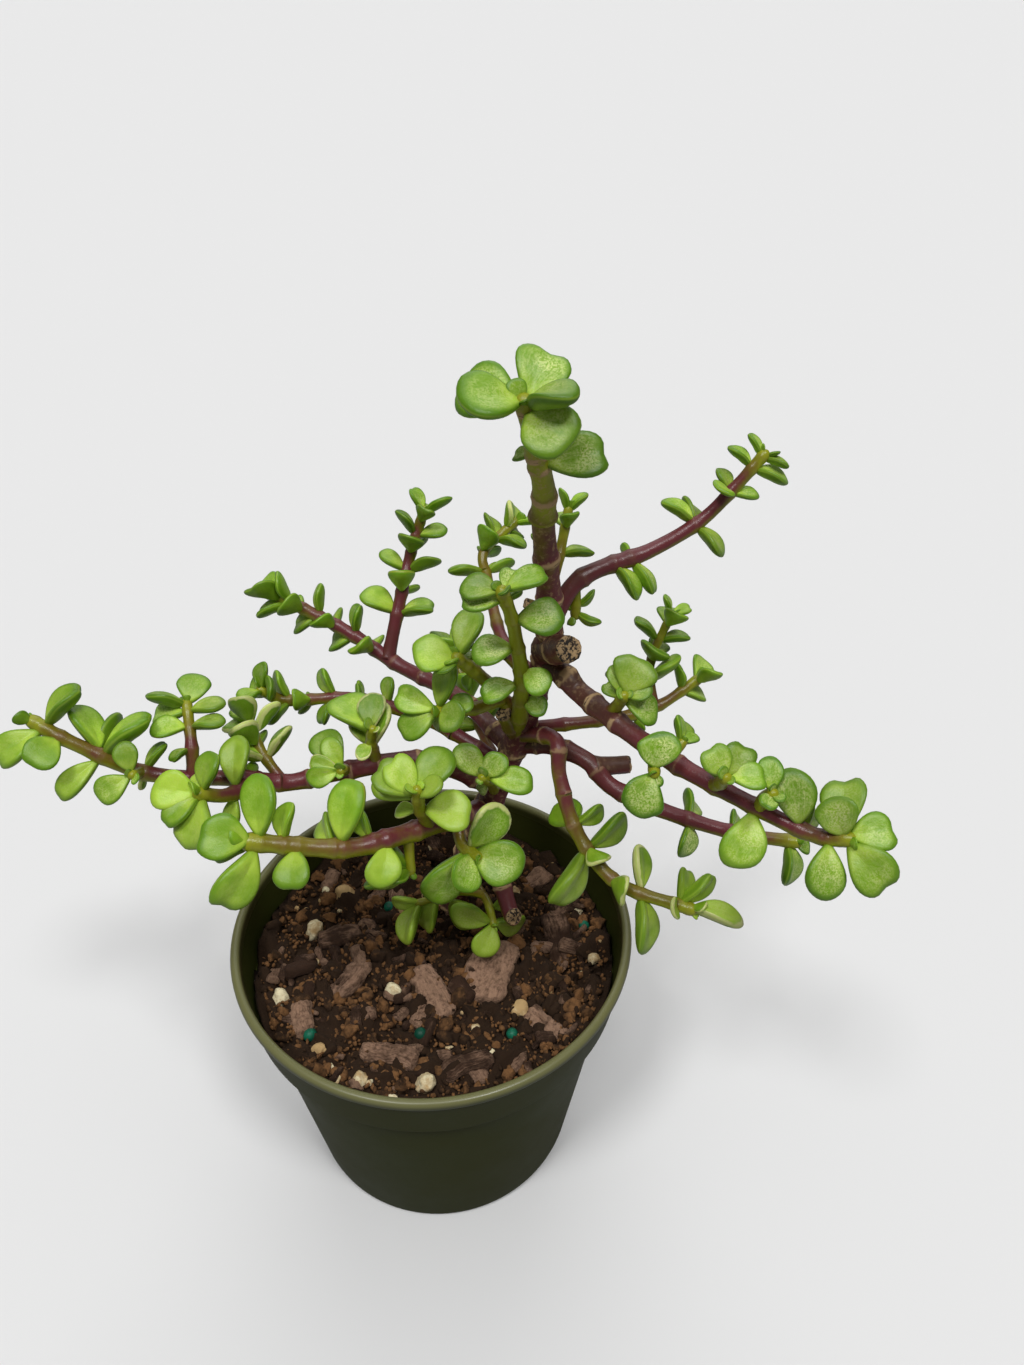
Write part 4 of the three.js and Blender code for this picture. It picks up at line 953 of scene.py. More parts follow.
def tip_buds(stem, seed):
    """The pair of tiny upright leaves that closes a stem's tip."""
    along, side, over = stem["path"].axes(1.0)
    buds = []
    for half in (0, 1):
        angle = math.radians(180 * half + 360 * draw(seed + 0.7))
        out = side * math.cos(angle) + over * math.sin(angle)
        tip = unit(along + BUD_SPREAD * out)
        face = unit(along - tip * along.dot(tip))
        buds.append({"root": stem["path"].point(1.0) - along * 0.5 + out * 0.2 * stem["thin"],
                     "tip": tip, "face": face, "across": np.cross(tip, face),
                     "length": BUD_LENGTH * stem["thin"] * (1 - 0.3 * half), "broad": 1.1,
                     "key": 100 * seed + 90 + half, "stem": stem["name"]})
    return buds


def leaf_looks(leaves):
    """What shapes and colours the leaves, with one value for each leaf under each name."""
    broad = np.array([place["broad"] for place in leaves])

    def drawn(salt):
        return np.array([draw(place["key"] + salt) for place in leaves])

    def by_stem(table, usual):
        return np.array([table.get(place["stem"], usual) for place in leaves])

    return {
        "length": np.array([place["length"] * MM for place in leaves]),
        "broad": broad,
        "cup": LEAF_CUP + 0.09 * drawn(0.11),
        "arch": LEAF_ARCH + 0.1 * (drawn(0.22) - 0.3),
        "tint": drawn(0.33),
        "cream": (0.3 + 0.7 * drawn(0.44)) * by_stem(CREAM, USUAL_CREAM),
        "young": by_stem(FRESH, USUAL_FRESH) * (0.6 + 0.8 * drawn(0.55)),
        "rim": drawn(0.66) < by_stem(BORDERED, USUAL_BORDERED),
        "lobes": 0.26 + 1.1 * np.maximum(0, broad - 0.95),
        "notch": NOTCH * np.maximum(0, drawn(0.77) - 0.45),
        "sway": SWAY * (drawn(0.88) - 0.5),
    }


def source_mesh(name, stems, leaves):
    """The lines of some stems and a loose point for each of their leaves, with all that shapes them."""
    lines = [stem_line(stem) for stem in stems]
    edges, start = [], 0
    for line in lines:
        edges += [(start + i, start + i + 1) for i in range(len(line[0]) - 1)]
        start += len(line[0])
    for stem in stems:
        if stem in STEMS and not is_cut(stem):
            leaves = leaves + tip_buds(stem, STEMS.index(stem) + 1)
    points, *stem_values = (np.concatenate(values) for values in zip(*lines))
    of_leaves = {label: np.array([place[label] for place in leaves], float).reshape(-1, 3)
                 for label in ("root", "tip", "face", "across")}
    of_leaves["root"] *= MM
    of_leaves.update(leaf_looks(leaves))
    attributes = {}
    for label, values in zip(("radius", "wood", "age", "gap", "cut"), stem_values):
        blank = np.full(len(leaves), 9 if label == "gap" else 0)
        attributes["stem_" + label] = np.concatenate([values, blank])
    for label, values in of_leaves.items():
        blank = np.zeros((len(points), *values.shape[1:]))
        attributes["leaf_" + label] = np.concatenate([blank, values])
    return mesh_with(name, np.concatenate([points, of_leaves["root"]]), edges, **attributes)


KEPT_ATTRIBUTES = {"leaf_uvw", "leaf_tint", "leaf_cream", "leaf_young", "leaf_rim",
                   "stem_wood", "stem_age", "stem_gap", "stem_cut",
                   "position", "sharp_face", "material_index"}


def stem_tubes(tree, given, lines):
    """Tubes swept along the stems' lines, rough where they are woody and roughest where they are cut."""
    circle = geometry(tree, "CurvePrimitiveCircle", {"Resolution": given["Stem Sides"], "Radius": 1.0})
    tube = geometry(tree, "CurveToMesh", {
        "Curve": geometry(tree, "MeshToCurve", {"Mesh": lines}), "Profile Curve": circle,
        "Scale": named(tree, "stem_radius"), "Fill Caps": True})
    rough = minus(tree, grain_noise(tree, geometry(tree, "InputPosition"), 700, 3, 0.6), 0.5)
    amount = scaled(tree, named(tree, "stem_cut"), 9.0, scaled(tree, named(tree, "stem_wood"), 2.2, 0.6))
    lift = product(tree, rough, amount, given["Bark Relief"])
    push = resized(tree, geometry(tree, "InputNormal"), lift)
    return geometry(tree, "SetPosition", {"Geometry": tube, "Offset": push})


def remembered(tree, shape, name):
    """A blank whose points keep their own places under a name."""
    return geometry(tree, "StoreNamedAttribute", {
        "Geometry": shape, "Name": name, "Value": geometry(tree, "InputPosition")},
        data_type="FLOAT_VECTOR", domain="POINT")


def leaf_places(tree, given):
    """Where the points of each leaf's ball go: cupped, arched, creased and wavy in the leaf's own frame."""
    root = named_vector(tree, "leaf_root")
    ball = vectors(tree, "NORMALIZE", named_vector(tree, "leaf_uvw"))
    across, lengthwise, through = parts_of(tree, ball)
    # A blunt, pillow-like section instead of a sharp one.
    bulge = minus(tree, 1.0, product(tree, through, through))
    swollen = maths(tree, "MINIMUM", maths(tree, "POWER", bulge, -0.09), 1.3)
    across, lengthwise = (product(tree, part, swollen) for part in (across, lengthwise))
    off_middle = maths(tree, "ABSOLUTE", across)
    # The margin swings in and out in lobes, and some tips are notched.
    own_spot = vectors(tree, "MULTIPLY_ADD", ball, (1.1, 1.1, 0.4), resized(tree, root, 600.0))
    lobe = product(tree, minus(tree, grain_noise(tree, own_spot, 1.7, 1), 0.5),
                   product(tree, named(tree, "leaf_lobes"), ramp(tree, lengthwise, -0.9, 0.0)))
    notch = product(tree, ramp(tree, off_middle, 0.0, 0.45, 1.0, 0.0),
                    product(tree, named(tree, "leaf_notch"), ramp(tree, lengthwise, 0.3, 1.0)))
    along = scaled(tree, lengthwise, 0.5, minus(tree, 0.5, notch))
    along = scaled(tree, product(tree, lobe, 0.6), maths(tree, "MAXIMUM", lengthwise, 0.0), along)
    taper = maths(tree, "POWER", maths(tree, "MAXIMUM", minus(tree, 1.0, along), 0.0), 2.0)
    narrow = minus(tree, 1.0, product(tree, taper, given["Leaf Narrowing"]))
    breadth = product(tree, given["Leaf Half Width"], named(tree, "leaf_broad"))
    wide = product(tree, narrow, across, breadth, plus(tree, lobe, 1.0))
    wide = scaled(tree, product(tree, along, along), named(tree, "leaf_sway"), wide)
    plump = maths(tree, "POWER", maths(tree, "ABSOLUTE", through), 0.8)
    thick = product(tree, maths(tree, "SIGN", through), plump, given["Leaf Half Thickness"])
    cupped = product(tree, across, across, named(tree, "leaf_cup"))
    arched = product(tree, along, minus(tree, 0.5, along), named(tree, "leaf_arch"))
    dent = product(tree, ramp(tree, off_middle, 0.0, 0.22, 1.0, 0.0),
                   product(tree, maths(tree, "MAXIMUM", through, 0.0), given["Leaf Crease"]))
    wave = product(tree, minus(tree, grain_noise(tree, own_spot, 1.0, 1), 0.5),
                   product(tree, bulge, given["Leaf Ripple"]))
    raised = plus(tree, plus(tree, thick, cupped), plus(tree, minus(tree, arched, dent), wave))
    place = resized(tree, named_vector(tree, "leaf_across"), wide)
    for axis, far in (("leaf_tip", along), ("leaf_face", raised)):
        place = vectors(tree, "ADD", place, resized(tree, named_vector(tree, axis), far))
    return vectors(tree, "ADD", resized(tree, place, named(tree, "leaf_length")), root)


def leafy_stem_tree():
    """Stems as swept tubes and leaves as shaped copies on their points."""
    tree, given = geometry_tree(
        "leafy_stem", Int=("Stem Sides", "Leaf Smoothing"), Material=("Stem Material", "Leaf Material"),
        Float=("Bark Relief", "Leaf Half Width", "Leaf Half Thickness", "Leaf Narrowing", "Leaf Crease",
               "Leaf Ripple"))
    is_leaf = named(tree, "leaf_length")
    parts = put(tree, "GeometryNodeSeparateGeometry", {"Geometry": given["Geometry"], "Selection": is_leaf},
                domain="POINT").outputs
    ball = geometry(tree, "MeshUVSphere", {"Segments": 16, "Rings": 6, "Radius": 1.0})
    leaves = geometry(tree, "InstanceOnPoints", {
        "Points": parts["Selection"], "Instance": remembered(tree, ball, "leaf_uvw")})
    leaves = geometry(tree, "RealizeInstances", {"Geometry": leaves})
    leaves = geometry(tree, "SetPosition", {"Geometry": leaves, "Position": leaf_places(tree, given)})
    leaves = geometry(tree, "SubdivisionSurface", {"Mesh": leaves, "Level": given["Leaf Smoothing"]})
    joined = put(tree, "GeometryNodeJoinGeometry")
    tree.links.new(stem_tubes(tree, given, parts["Inverted"]), joined.inputs[0])
    tree.links.new(leaves, joined.inputs[0])
    smooth = geometry(tree, "SetShadeSmooth", {"Geometry": joined.outputs[0]})
    close_tree(tree, smooth, given["Stem Material"], is_leaf, given["Leaf Material"])
    return tree


def plant_tools(context):
    """The tree and its inputs, shared by the trunk and the leafy stems, and the grown leaves."""
    stems, leaf = context.scene.jade_stems, context.scene.jade_leaves
    tree = bpy.data.node_groups.get("leafy_stem") or leafy_stem_tree()
    values = {
        "Stem Sides": stems.sides, "Bark Relief": stems.relief, "Leaf Half Width": leaf.half_width,
        "Leaf Half Thickness": leaf.half_thickness, "Leaf Narrowing": leaf.narrowing,
        "Leaf Crease": leaf.crease, "Leaf Ripple": leaf.ripple, "Leaf Smoothing": leaf.smoothing,
        "Stem Material": bpy.data.materials.get("jade_bark") or bark_material(stems),
        "Leaf Material": bpy.data.materials.get("jade_leaf") or leaf_material(leaf)}
    return tree, values, grow_plant((leaf.half_width, leaf.narrowing))


def plant_piece(name, stems, leaves, tree, values):
    piece = made_by_tree(name, source_mesh(name + "_lines", stems, leaves), tree, values)
    attributes = piece.data.attributes
    for spare in [a.name for a in attributes if a.name not in KEPT_ATTRIBUTES and not a.is_internal]:
        attributes.remove(attributes[spare])
    return piece


class JADE_OT_trunk(bpy.types.Operator):
    """Build the woody trunk with its cut stubs"""
    bl_idname = "jade.trunk"
    bl_label = "Trunk"

    def execute(self, context):
        tree, values, _ = plant_tools(context)
        settle(plant_piece("woody_trunk", (TRUNK, *STUBS), [], tree, values), "trunk", "trunk")
        return {"FINISHED"}


class JADE_OT_leafy_stems(bpy.types.Operator):
    """Build every leafy stem with its pairs of leaves"""
    bl_idname = "jade.leafy_stems"
    bl_label = "Leafy stems"

    def execute(self, context):
        tree, values, grown = plant_tools(context)
        for node, leaves in grown.items():
            stems = [stem for stem in STEMS if node_of(stem) == node]
            settle(plant_piece("leafy_" + node, stems, leaves, tree, values), "leafy_stem", node)
        return {"FINISHED"}


# ---------------------------------------------------------------- pot

def rounded(profile, corner, start, end, radius, turns):
    """Adds a rounded corner to a section, from one angle to another."""
    for i in range(turns + 1):
        angle = math.radians(start + (end - start) * i / turns)
        profile.append((corner[0] + radius * math.cos(angle), corner[1] + radius * math.sin(angle)))


def pot_section():
    """The wall's closed section as (radius, height) in mm, up the outside and down the inside."""
    section = [(0, 0)]
    rounded(section, (BODY_LOW_RADIUS - BASE_ROUND, BASE_ROUND), -90, -8, BASE_ROUND, 6)
    section.append((BODY_TOP_RADIUS - 0.3, BAND_LOW_Z - 3.5))
    section.append((BODY_TOP_RADIUS, BAND_LOW_Z - 1.2))
    section.append((BODY_TOP_RADIUS + 0.6, BAND_LOW_Z - 0.7))
    rounded(section, (BAND_LOW_RADIUS - 0.7, BAND_LOW_Z + 0.1), -80, -5, 0.7, 4)
    section.append((BAND_TOP_RADIUS - 0.05, POT_HEIGHT - LIP_DEPTH - 0.5))
    section.append((BAND_TOP_RADIUS + 0.1, POT_HEIGHT - LIP_DEPTH))
    rounded(section, (LIP_RADIUS - 0.9, POT_HEIGHT - LIP_DEPTH + 0.95), -70, 0, 0.9, 4)
    rounded(section, (LIP_RADIUS - 1.2, POT_HEIGHT - 1.2), 0, 180, 1.2, 10)
    section.append((LIP_RADIUS - LIP_WIDTH - 0.25, POT_HEIGHT - LIP_DEPTH - 0.5))
    section.append((BAND_LOW_RADIUS - WALL, BAND_LOW_Z + 0.4))
    section.append((BODY_TOP_RADIUS - WALL, BAND_LOW_Z - 1))
    section.append((BODY_LOW_RADIUS - WALL, BASE_ROUND + FLOOR))
    section.append((BODY_LOW_RADIUS - BASE_ROUND, FLOOR))
    section.append((0, FLOOR))
    return section


def lathe(shape, section, sides):
    """Turns a section of (radius, height) in mm round the upright axis; ends on the axis close it."""
    rings = []
    for radius, height in section:
        if radius == 0:
            rings.append([shape.verts.new((0, 0, height * MM))] * sides)
            continue
        rings.append([shape.verts.new((radius * MM * math.cos(2 * math.pi * i / sides),
                                       radius * MM * math.sin(2 * math.pi * i / sides), height * MM))
                      for i in range(sides)])
    for low, high in zip(rings, rings[1:]):
        for i in range(sides):
            j = (i + 1) % sides
            corners = list(dict.fromkeys((low[i], low[j], high[j], high[i])))
            if len(corners) > 2:
                shape.faces.new(corners)
    return rings


def drain_tree():
    """Cuts a ring of drain holes through a pot's floor."""
    tree, given = geometry_tree(
        "drain_holes", Int=("Holes",), Float=("Circle Radius", "Hole Radius", "Depth", "Lip Height"),
        Material=("Material", "Lip Material"))
    ring = geometry(tree, "MeshCircle", {"Vertices": given["Holes"], "Radius": given["Circle Radius"]})
    ring = geometry(tree, "Transform", {"Geometry": ring, "Rotation": (0, 0, math.pi / 6)})
    drill = geometry(tree, "MeshCylinder", {
        "Vertices": 32, "Radius": given["Hole Radius"], "Depth": given["Depth"]})
    drills = geometry(tree, "InstanceOnPoints", {"Points": ring, "Instance": drill})
    drills = geometry(tree, "RealizeInstances", {"Geometry": drills})
    cut = geometry(tree, "MeshBoolean", {"Mesh 1": given["Geometry"], "Mesh 2": drills},
                   operation="DIFFERENCE", solver="EXACT")
    smooth = geometry(tree, "SetShadeSmooth", {"Geometry": cut})
    height = parts_of(tree, geometry(tree, "InputPosition"))[2]
    on_lip = maths(tree, "GREATER_THAN", height, given["Lip Height"])
    close_tree(tree, smooth, given["Material"], on_lip, given["Lip Material"])
    return tree


def sharpen(piece, degrees):
    """Keeps edges crisp where two faces meet at more than an angle."""
    shape = bmesh.new()
    shape.from_mesh(piece.data)
    for edge in shape.edges:
        edge.smooth = not (edge.is_manifold and edge.calc_face_angle() > math.radians(degrees))
    shape.to_mesh(piece.data)
    shape.free()


class JADE_OT_pot(bpy.types.Operator):
    """Build the moulded nursery pot with its lip, band and drain holes"""
    bl_idname = "jade.pot"
    bl_label = "Pot"

    def execute(self, context):
        pot = context.scene.jade_pot
        blank = built_mesh("pot_blank", lambda shape: lathe(shape, pot_section(), pot.sides))
        piece = made_by_tree("nursery_pot", blank, drain_tree(), {
            "Holes": DRAIN_HOLES, "Circle Radius": DRAIN_CIRCLE * MM, "Hole Radius": pot.drain_radius,
            "Depth": 4 * FLOOR * MM, "Lip Height": (POT_HEIGHT - LIP_DEPTH - 0.2) * MM,
            "Material": pot_material("nursery_plastic", pot, pot.shine, 0.43),
            "Lip Material": pot_material("nursery_plastic_lip", pot, pot.lip_shine, 0.33)})
        sharpen(piece, 35)
        settle(piece, "pot", "pot")
        return {"FINISHED"}


# ---------------------------------------------------------------- soil

def soil_height(x, y):
    """Height in mm of the soil's uneven surface, level where it meets the pot."""
    share = min(1, math.hypot(x, y) / SOIL_EDGE)
    wave = math.sin(0.31 * x + 1.3) * math.cos(0.27 * y - 0.6) + 0.5 * math.sin(0.73 * x - 0.61 * y)
    return SOIL_TOP + SOIL_WAVE * wave * (1 - share ** 4)


def banked(share):
    """Height in mm by which the mix is banked up towards the pot, for a share of the way to its wall."""
    return SOIL_BANK * share ** 6


def crumbly(x, y, depth):
    """Extra height in mm of the crumbs and hollows at a place."""
    spot = Vector((x, y, 0))
    coarse = noise.fractal(spot * 0.13, 0.9, 2.1, 3)
    fine = noise.fractal(spot * 0.55 + Vector((7, 3, 1)), 0.8, 2.0, 3)
    return depth * (coarse + 0.7 * fine)


def soil_bed(shape, depth):
    """The mix as one turned body, with its top pushed into crumbs and hollows."""
    section = [(0, FLOOR + GAP), (BODY_LOW_RADIUS - BASE_ROUND - GAP, FLOOR + GAP),
               (BODY_LOW_RADIUS - WALL - GAP, BASE_ROUND + FLOOR + GAP),
               (BODY_TOP_RADIUS - WALL - GAP, BAND_LOW_Z - 1 + GAP)]
    section += [(SOIL_EDGE * (1 - i / SOIL_RINGS), SOIL_TOP) for i in range(SOIL_RINGS + 1)]
    lathe(shape, section, SOIL_SIDES)
    for corner in shape.verts:
        if corner.co.z > (SOIL_TOP - 0.01) * MM:
            x, y = corner.co.x / MM, corner.co.y / MM
            bank = banked(min(1, math.hypot(x, y) / SOIL_EDGE))
            rise = soil_height(x, y) + bank + crumbly(x, y, depth / MM)
            corner.co.z = min(rise, SOIL_TOP + SOIL_PEAK) * MM


def lump_inputs(name):
    return geometry_tree(name, Float=("Raggedness",), Int=("Fineness",), Material=("Material",))


def strewn(tree, given, lump, waves, detail, smoothing=None):
    """Ends a tree of lumps, turned and sized by their points and pushed ragged by noise in waves of
    (scale, share of the raggedness)."""
    turn = put(tree, "FunctionNodeEulerToRotation", {0: named_vector(tree, "lump_turn")}).outputs[0]
    lumps = geometry(tree, "InstanceOnPoints", {
        "Points": given["Geometry"], "Instance": lump, "Rotation": turn,
        "Scale": named_vector(tree, "lump_size")})
    lumps = geometry(tree, "RealizeInstances", {"Geometry": lumps})
    if smoothing:
        lumps = geometry(tree, "SubdivisionSurface", {"Mesh": lumps, "Level": smoothing})
    here = geometry(tree, "InputPosition")
    push = (0.0, 0.0, 0.0)
    for scale, part in waves:
        swirl = put(tree, "ShaderNodeTexNoise", {"Vector": here, "Scale": scale, "Detail": detail}).outputs[1]
        swirl = vectors(tree, "SUBTRACT", swirl, (0.5, 0.5, 0.5))
        push = vectors(tree, "MULTIPLY_ADD", swirl, (part, part, part), push)
    push = resized(tree, push, given["Raggedness"])
    lumps = geometry(tree, "SetPosition", {"Geometry": lumps, "Offset": push})
    close_tree(tree, geometry(tree, "SetShadeSmooth", {"Geometry": lumps}), given["Material"])
    return tree


def chip_tree():
    """Flat ragged chips, which are smoothed by their fineness."""
    tree, given = lump_inputs("bark_chips")
    block = geometry(tree, "MeshCube", {"Size": (1, 1, 1), "Vertices X": 4, "Vertices Y": 3, "Vertices Z": 2})
    waves = ((130.0, 2.2), (420.0, 1.0), (1300.0, 0.45))
    return strewn(tree, given, remembered(tree, block, "lump_spot"), waves, 1.0, given["Fineness"])


def crumb_tree():
    """Small lumps, as round or as ragged as asked."""
    tree, given = lump_inputs("crumbs")
    ball = geometry(tree, "MeshIcoSphere", {"Radius": 1.0, "Subdivisions": given["Fineness"]})
    return strewn(tree, given, ball, ((420.0, 1.0),), 2.0)


def strew(name, lumps, tree, raggedness, fineness, material, lightest=1.0, darkest=0.0):
    """Lays a piece of chips or crumbs on the soil, each (x, y, z, size in x, y and z, turn about x, y and z)
    in mm and degrees, with tints from the darkest to the lightest."""
    lumps = np.array(lumps, float)
    tints = [darkest + (lightest - darkest) * draw(i + 0.17) for i in range(len(lumps))]
    points = mesh_with(name + "_points", lumps[:, :3] * MM, lump_size=lumps[:, 3:6] * MM,
                       lump_turn=np.radians(lumps[:, 6:9]), lump_tint=tints)
    settle(made_by_tree(name, points, tree, {
        "Raggedness": raggedness * MM, "Fineness": fineness, "Material": material}), "soil")


def scattered(count, chance, reach, size, flatness, sink, tilt):
    """Lumps strewn over the soil by a seeded draw."""
    lumps = []
    while len(lumps) < count:
        angle, far = chance.uniform(0, 2 * math.pi), reach * math.sqrt(chance.random())
        x, y = far * math.cos(angle), far * math.sin(angle)
        large = size[0] + (size[1] - size[0]) * chance.random() ** 1.6
        lumps.append((x, y, soil_height(x, y) + banked(far / reach) + sink * large,
                      large, large * chance.uniform(*flatness[0]), large * chance.uniform(*flatness[1]),
                      chance.uniform(-tilt, tilt), chance.uniform(-tilt, tilt), chance.uniform(0, 360)))
    return lumps


class JADE_OT_soil(bpy.types.Operator):
    """Build the potting mix with its bark chips, perlite, feed beads and crumbs"""
    bl_idname = "jade.soil"
    bl_label = "Soil"

    def execute(self, context):
        soil = context.scene.jade_soil
        chance = random.Random(soil.seed)
        reach = STREWN_RADIUS
        bed = link_piece("soil_bed", built_mesh("soil_bed", lambda shape: soil_bed(shape, soil.crumble)))
        bed.data.materials.append(mix_material("peat", soil.dark_colour, soil.peat_colour, 260, 0.95, 0.8))
        bed.data.shade_smooth()
        settle(bed, "soil", "soil")
        tree = chip_tree()
        bark = mix_material("bark_chip", soil.chip_dark_colour, soil.chip_colour, 150, 0.75, 1.0, True)
        chips = [(x, y, soil_height(x, y) + 0.7, long, wide, BARK_THICK, chance.uniform(-14, 14),
                  chance.uniform(-10, 10), turn) for x, y, turn, long, wide in BARK]
        strew("bark_chips", chips, tree, 1.4, 3, bark, 1.0, 0.25)
        bits = scattered(soil.chips, chance, reach - 3, (2.5, 9), ((0.3, 0.65), (0.2, 0.45)), 0.06, 40)
        strew("bark_bits", bits, tree, 1.1, 2, bark, 0.75)
        tree = crumb_tree()
        perlite = [(x, y, soil_height(x, y) + 0.4 * radius, 1.15 * radius, 0.9 * radius, 0.8 * radius,
                    30 * x, 20 * y, 40 * x) for x, y, radius in PERLITE]
        perlite += scattered(soil.perlite, chance, reach, (0.5, 1.6), ((0.6, 1), (0.5, 0.9)), 0.2, 90)
        white = mix_material("perlite", soil.perlite_shade, soil.perlite_colour, 240, 0.85, 0.4)
        strew("perlite_crumbs", perlite, tree, 2.0, 4, white)
        beads = [(x, y, soil_height(x, y) + 0.6 * radius, radius, radius, radius, 0, 0, 0)
                 for x, y, radius in FEED_BEADS]
        teal = mix_material("feed_bead", soil.bead_shade, soil.bead_colour, 400, 0.45, 0.1)
        strew("feed_beads", beads, tree, 0.15, 3, teal, 0.7, 0.3)
        peat = mix_material("peat_crumb", soil.dark_colour, soil.crumb_colour, 150, 0.95, 0.6)
        lumps = scattered(soil.lumps, chance, reach, (1.1, 2.9), ((0.6, 0.95), (0.45, 0.8)), 0.05, 90)
        strew("peat_lumps", lumps, tree, 3.0, 3, peat, 0.9)
        crumbs = scattered(soil.crumbs, chance, reach, (0.4, 1.4), ((0.4, 0.9), (0.3, 0.7)), 0.2, 90)
        strew("peat_crumbs", crumbs, tree, 1.1, 2, peat)
        dust = scattered(soil.dust, chance, reach, (0.35, 0.9), ((0.5, 1), (0.4, 0.9)), 0.3, 90)
        strew("peat_dust", dust, tree, 0.7, 1, peat, 1.0, 0.3)
        return {"FINISHED"}


# ---------------------------------------------------------------- studio

class JADE_OT_stage(bpy.types.Operator):
    """Set up the camera, the pale floor and the soft light"""
    bl_idname = "jade.stage"
    bl_label = "Studio"

    def execute(self, context):
        stage = context.scene.jade_stage
        scene = context.scene
        scene.view_settings.view_transform = "Standard"
        floor = link_piece("studio_floor", built_mesh("studio_floor", lambda shape: bmesh.ops.create_grid(
            shape, x_segments=1, y_segments=1, size=stage.floor_size)))
        floor.data.materials.append(floor_material(stage))
        camera = link_piece("camera", bpy.data.cameras.new("camera"))
        camera.location = stage.camera_place
        camera.rotation_euler = (math.radians(90) - stage.camera_dip, 0, 0)
        camera.data.lens = stage.lens
        camera.data.clip_start = 0.01
        scene.camera = camera
        for name, tilt, turn, strength, softness in (
                ("key_left", stage.key_tilt, -stage.key_spread, stage.key_strength, stage.key_softness),
                ("key_right", stage.key_tilt, stage.key_spread, stage.key_strength, stage.key_softness),
                ("top_light", 0, 0, stage.top_strength, stage.top_softness),
                ("back_light", -stage.back_tilt, 0, stage.back_strength, stage.back_softness)):
            light = link_piece(name, bpy.data.lights.new(name, "SUN"))
            light.rotation_euler = (tilt, 0, turn)
            light.data.energy = strength
            light.data.angle = softness
        world = bpy.data.worlds.new("soft_sky")
        world.use_nodes = True
        tree = world.node_tree
        sky = tree.nodes["Background"]
        sky.inputs["Color"].default_value = (*stage.sky_colour, 1)
        seen = put(tree, "ShaderNodeLightPath").outputs["Is Camera Ray"]
        strength = ramp(tree, seen, 0.0, 1.0, stage.sky_strength, stage.backdrop_strength)
        tree.links.new(strength, sky.inputs["Strength"])
        scene.world = world
        return {"FINISHED"}


# ---------------------------------------------------------------- settings

def colour(name, description, value):
    return FloatVectorProperty(name=name, description=description, default=value, subtype="COLOR",
                               min=0, max=1)


def number(name, description, value, **limits):
    return IntProperty(name=name, description=description, default=value, **limits)


def strength(name, description, value):
    return FloatProperty(name=name, description=description, default=value, min=0)


def distance(name, description, value):
    return FloatProperty(name=name, description=description, default=value, subtype="DISTANCE", unit="LENGTH",
                         precision=5, min=0)


def angle(name, description, degrees):
    return FloatProperty(name=name, description=description, default=math.radians(degrees), subtype="ANGLE",
                         unit="ROTATION")


def share(name, description, value):
    return FloatProperty(name=name, description=description, default=value, subtype="FACTOR", min=0, max=2)


class PotSettings(bpy.types.PropertyGroup):
    sides: number("Sides", "Facets round the pot", 144, min=24)
    drain_radius: distance("Drain radius", "Radius of each drain hole", 4 * MM)
    colour: colour("Plastic", "Colour of the wall", (0.037, 0.044, 0.009))
    warm_colour: colour("Warm plastic", "Colour where the wall is worn", (0.043, 0.047, 0.01))
    # The lip colour is a painted highlight, and the pot's fine pale dust specks take it too.
    lip_highlight_and_dust_colour: colour("Lip", "Colour of the worn lip", (0.16, 0.158, 0.06))
    shine: share("Shine", "How much light the plastic mirrors", 0.06)
    lip_shine: share("Lip shine", "How much light the worn lip mirrors", 0.5)


class SoilSettings(bpy.types.PropertyGroup):
    seed: number("Seed", "Seed of the scattered bits", 7)
    crumble: distance("Crumble", "Depth of the surface's hollows", 3.0 * MM)
    chips: number("Small chips", "Number of small bark chips", 150, min=0)
    perlite: number("Perlite", "Number of small perlite crumbs", 40, min=0)
    lumps: number("Lumps", "Number of peat lumps", 380, min=0)
    crumbs: number("Crumbs", "Number of peat crumbs", 1500, min=0)
    dust: number("Fine crumbs", "Number of the finest peat crumbs", 3200, min=0)
    dark_colour: colour("Dark peat", "Colour of wet peat", (0.03, 0.015, 0.007))
    peat_colour: colour("Peat", "Colour of dry peat", (0.17, 0.08, 0.03))
    crumb_colour: colour("Crumbs", "Colour of the peat crumbs", (0.2, 0.095, 0.036))
    chip_dark_colour: colour("Dark bark", "Colour in the bark's hollows", (0.055, 0.026, 0.014))
    chip_colour: colour("Bark", "Colour of the bark chips", (0.38, 0.225, 0.145))
    perlite_shade: colour("Perlite shade", "Stained colour of the perlite", (0.5, 0.33, 0.15))
    perlite_colour: colour("Perlite", "Colour of the perlite", (0.85, 0.76, 0.5))
    bead_shade: colour("Bead shade", "Darker colour of the feed beads", (0.004, 0.06, 0.035))
    bead_colour: colour("Beads", "Colour of the feed beads", (0.01, 0.16, 0.09))


class StemSettings(bpy.types.PropertyGroup):
    sides: number("Sides", "Facets round a stem", 14, min=5)
    relief: distance("Bark relief", "Height of the bark's roughness", 0.12 * MM)
    shine: share("Shine", "How much light the bark mirrors", 0.45)
    young_colour: colour("Young", "Colour of the newest growth", (0.3, 0.32, 0.012))
    green_colour: colour("Green wood", "Colour of this year's stems", (0.19, 0.15, 0.01))
    flush_colour: colour("Flushed", "Colour of ripe stems", (0.145, 0.028, 0.033))
    old_colour: colour("Old wood", "Colour of the oldest wood", (0.09, 0.038, 0.024))
    collar_colour: colour("Collars", "Colour round the nodes", (0.22, 0.12, 0.06))
    crack_colour: colour("Cracks", "Dry colour at nodes and cuts", (0.47, 0.31, 0.155))
    pith_colour: colour("Pith", "Dark colour in cut ends", (0.02, 0.014, 0.01))


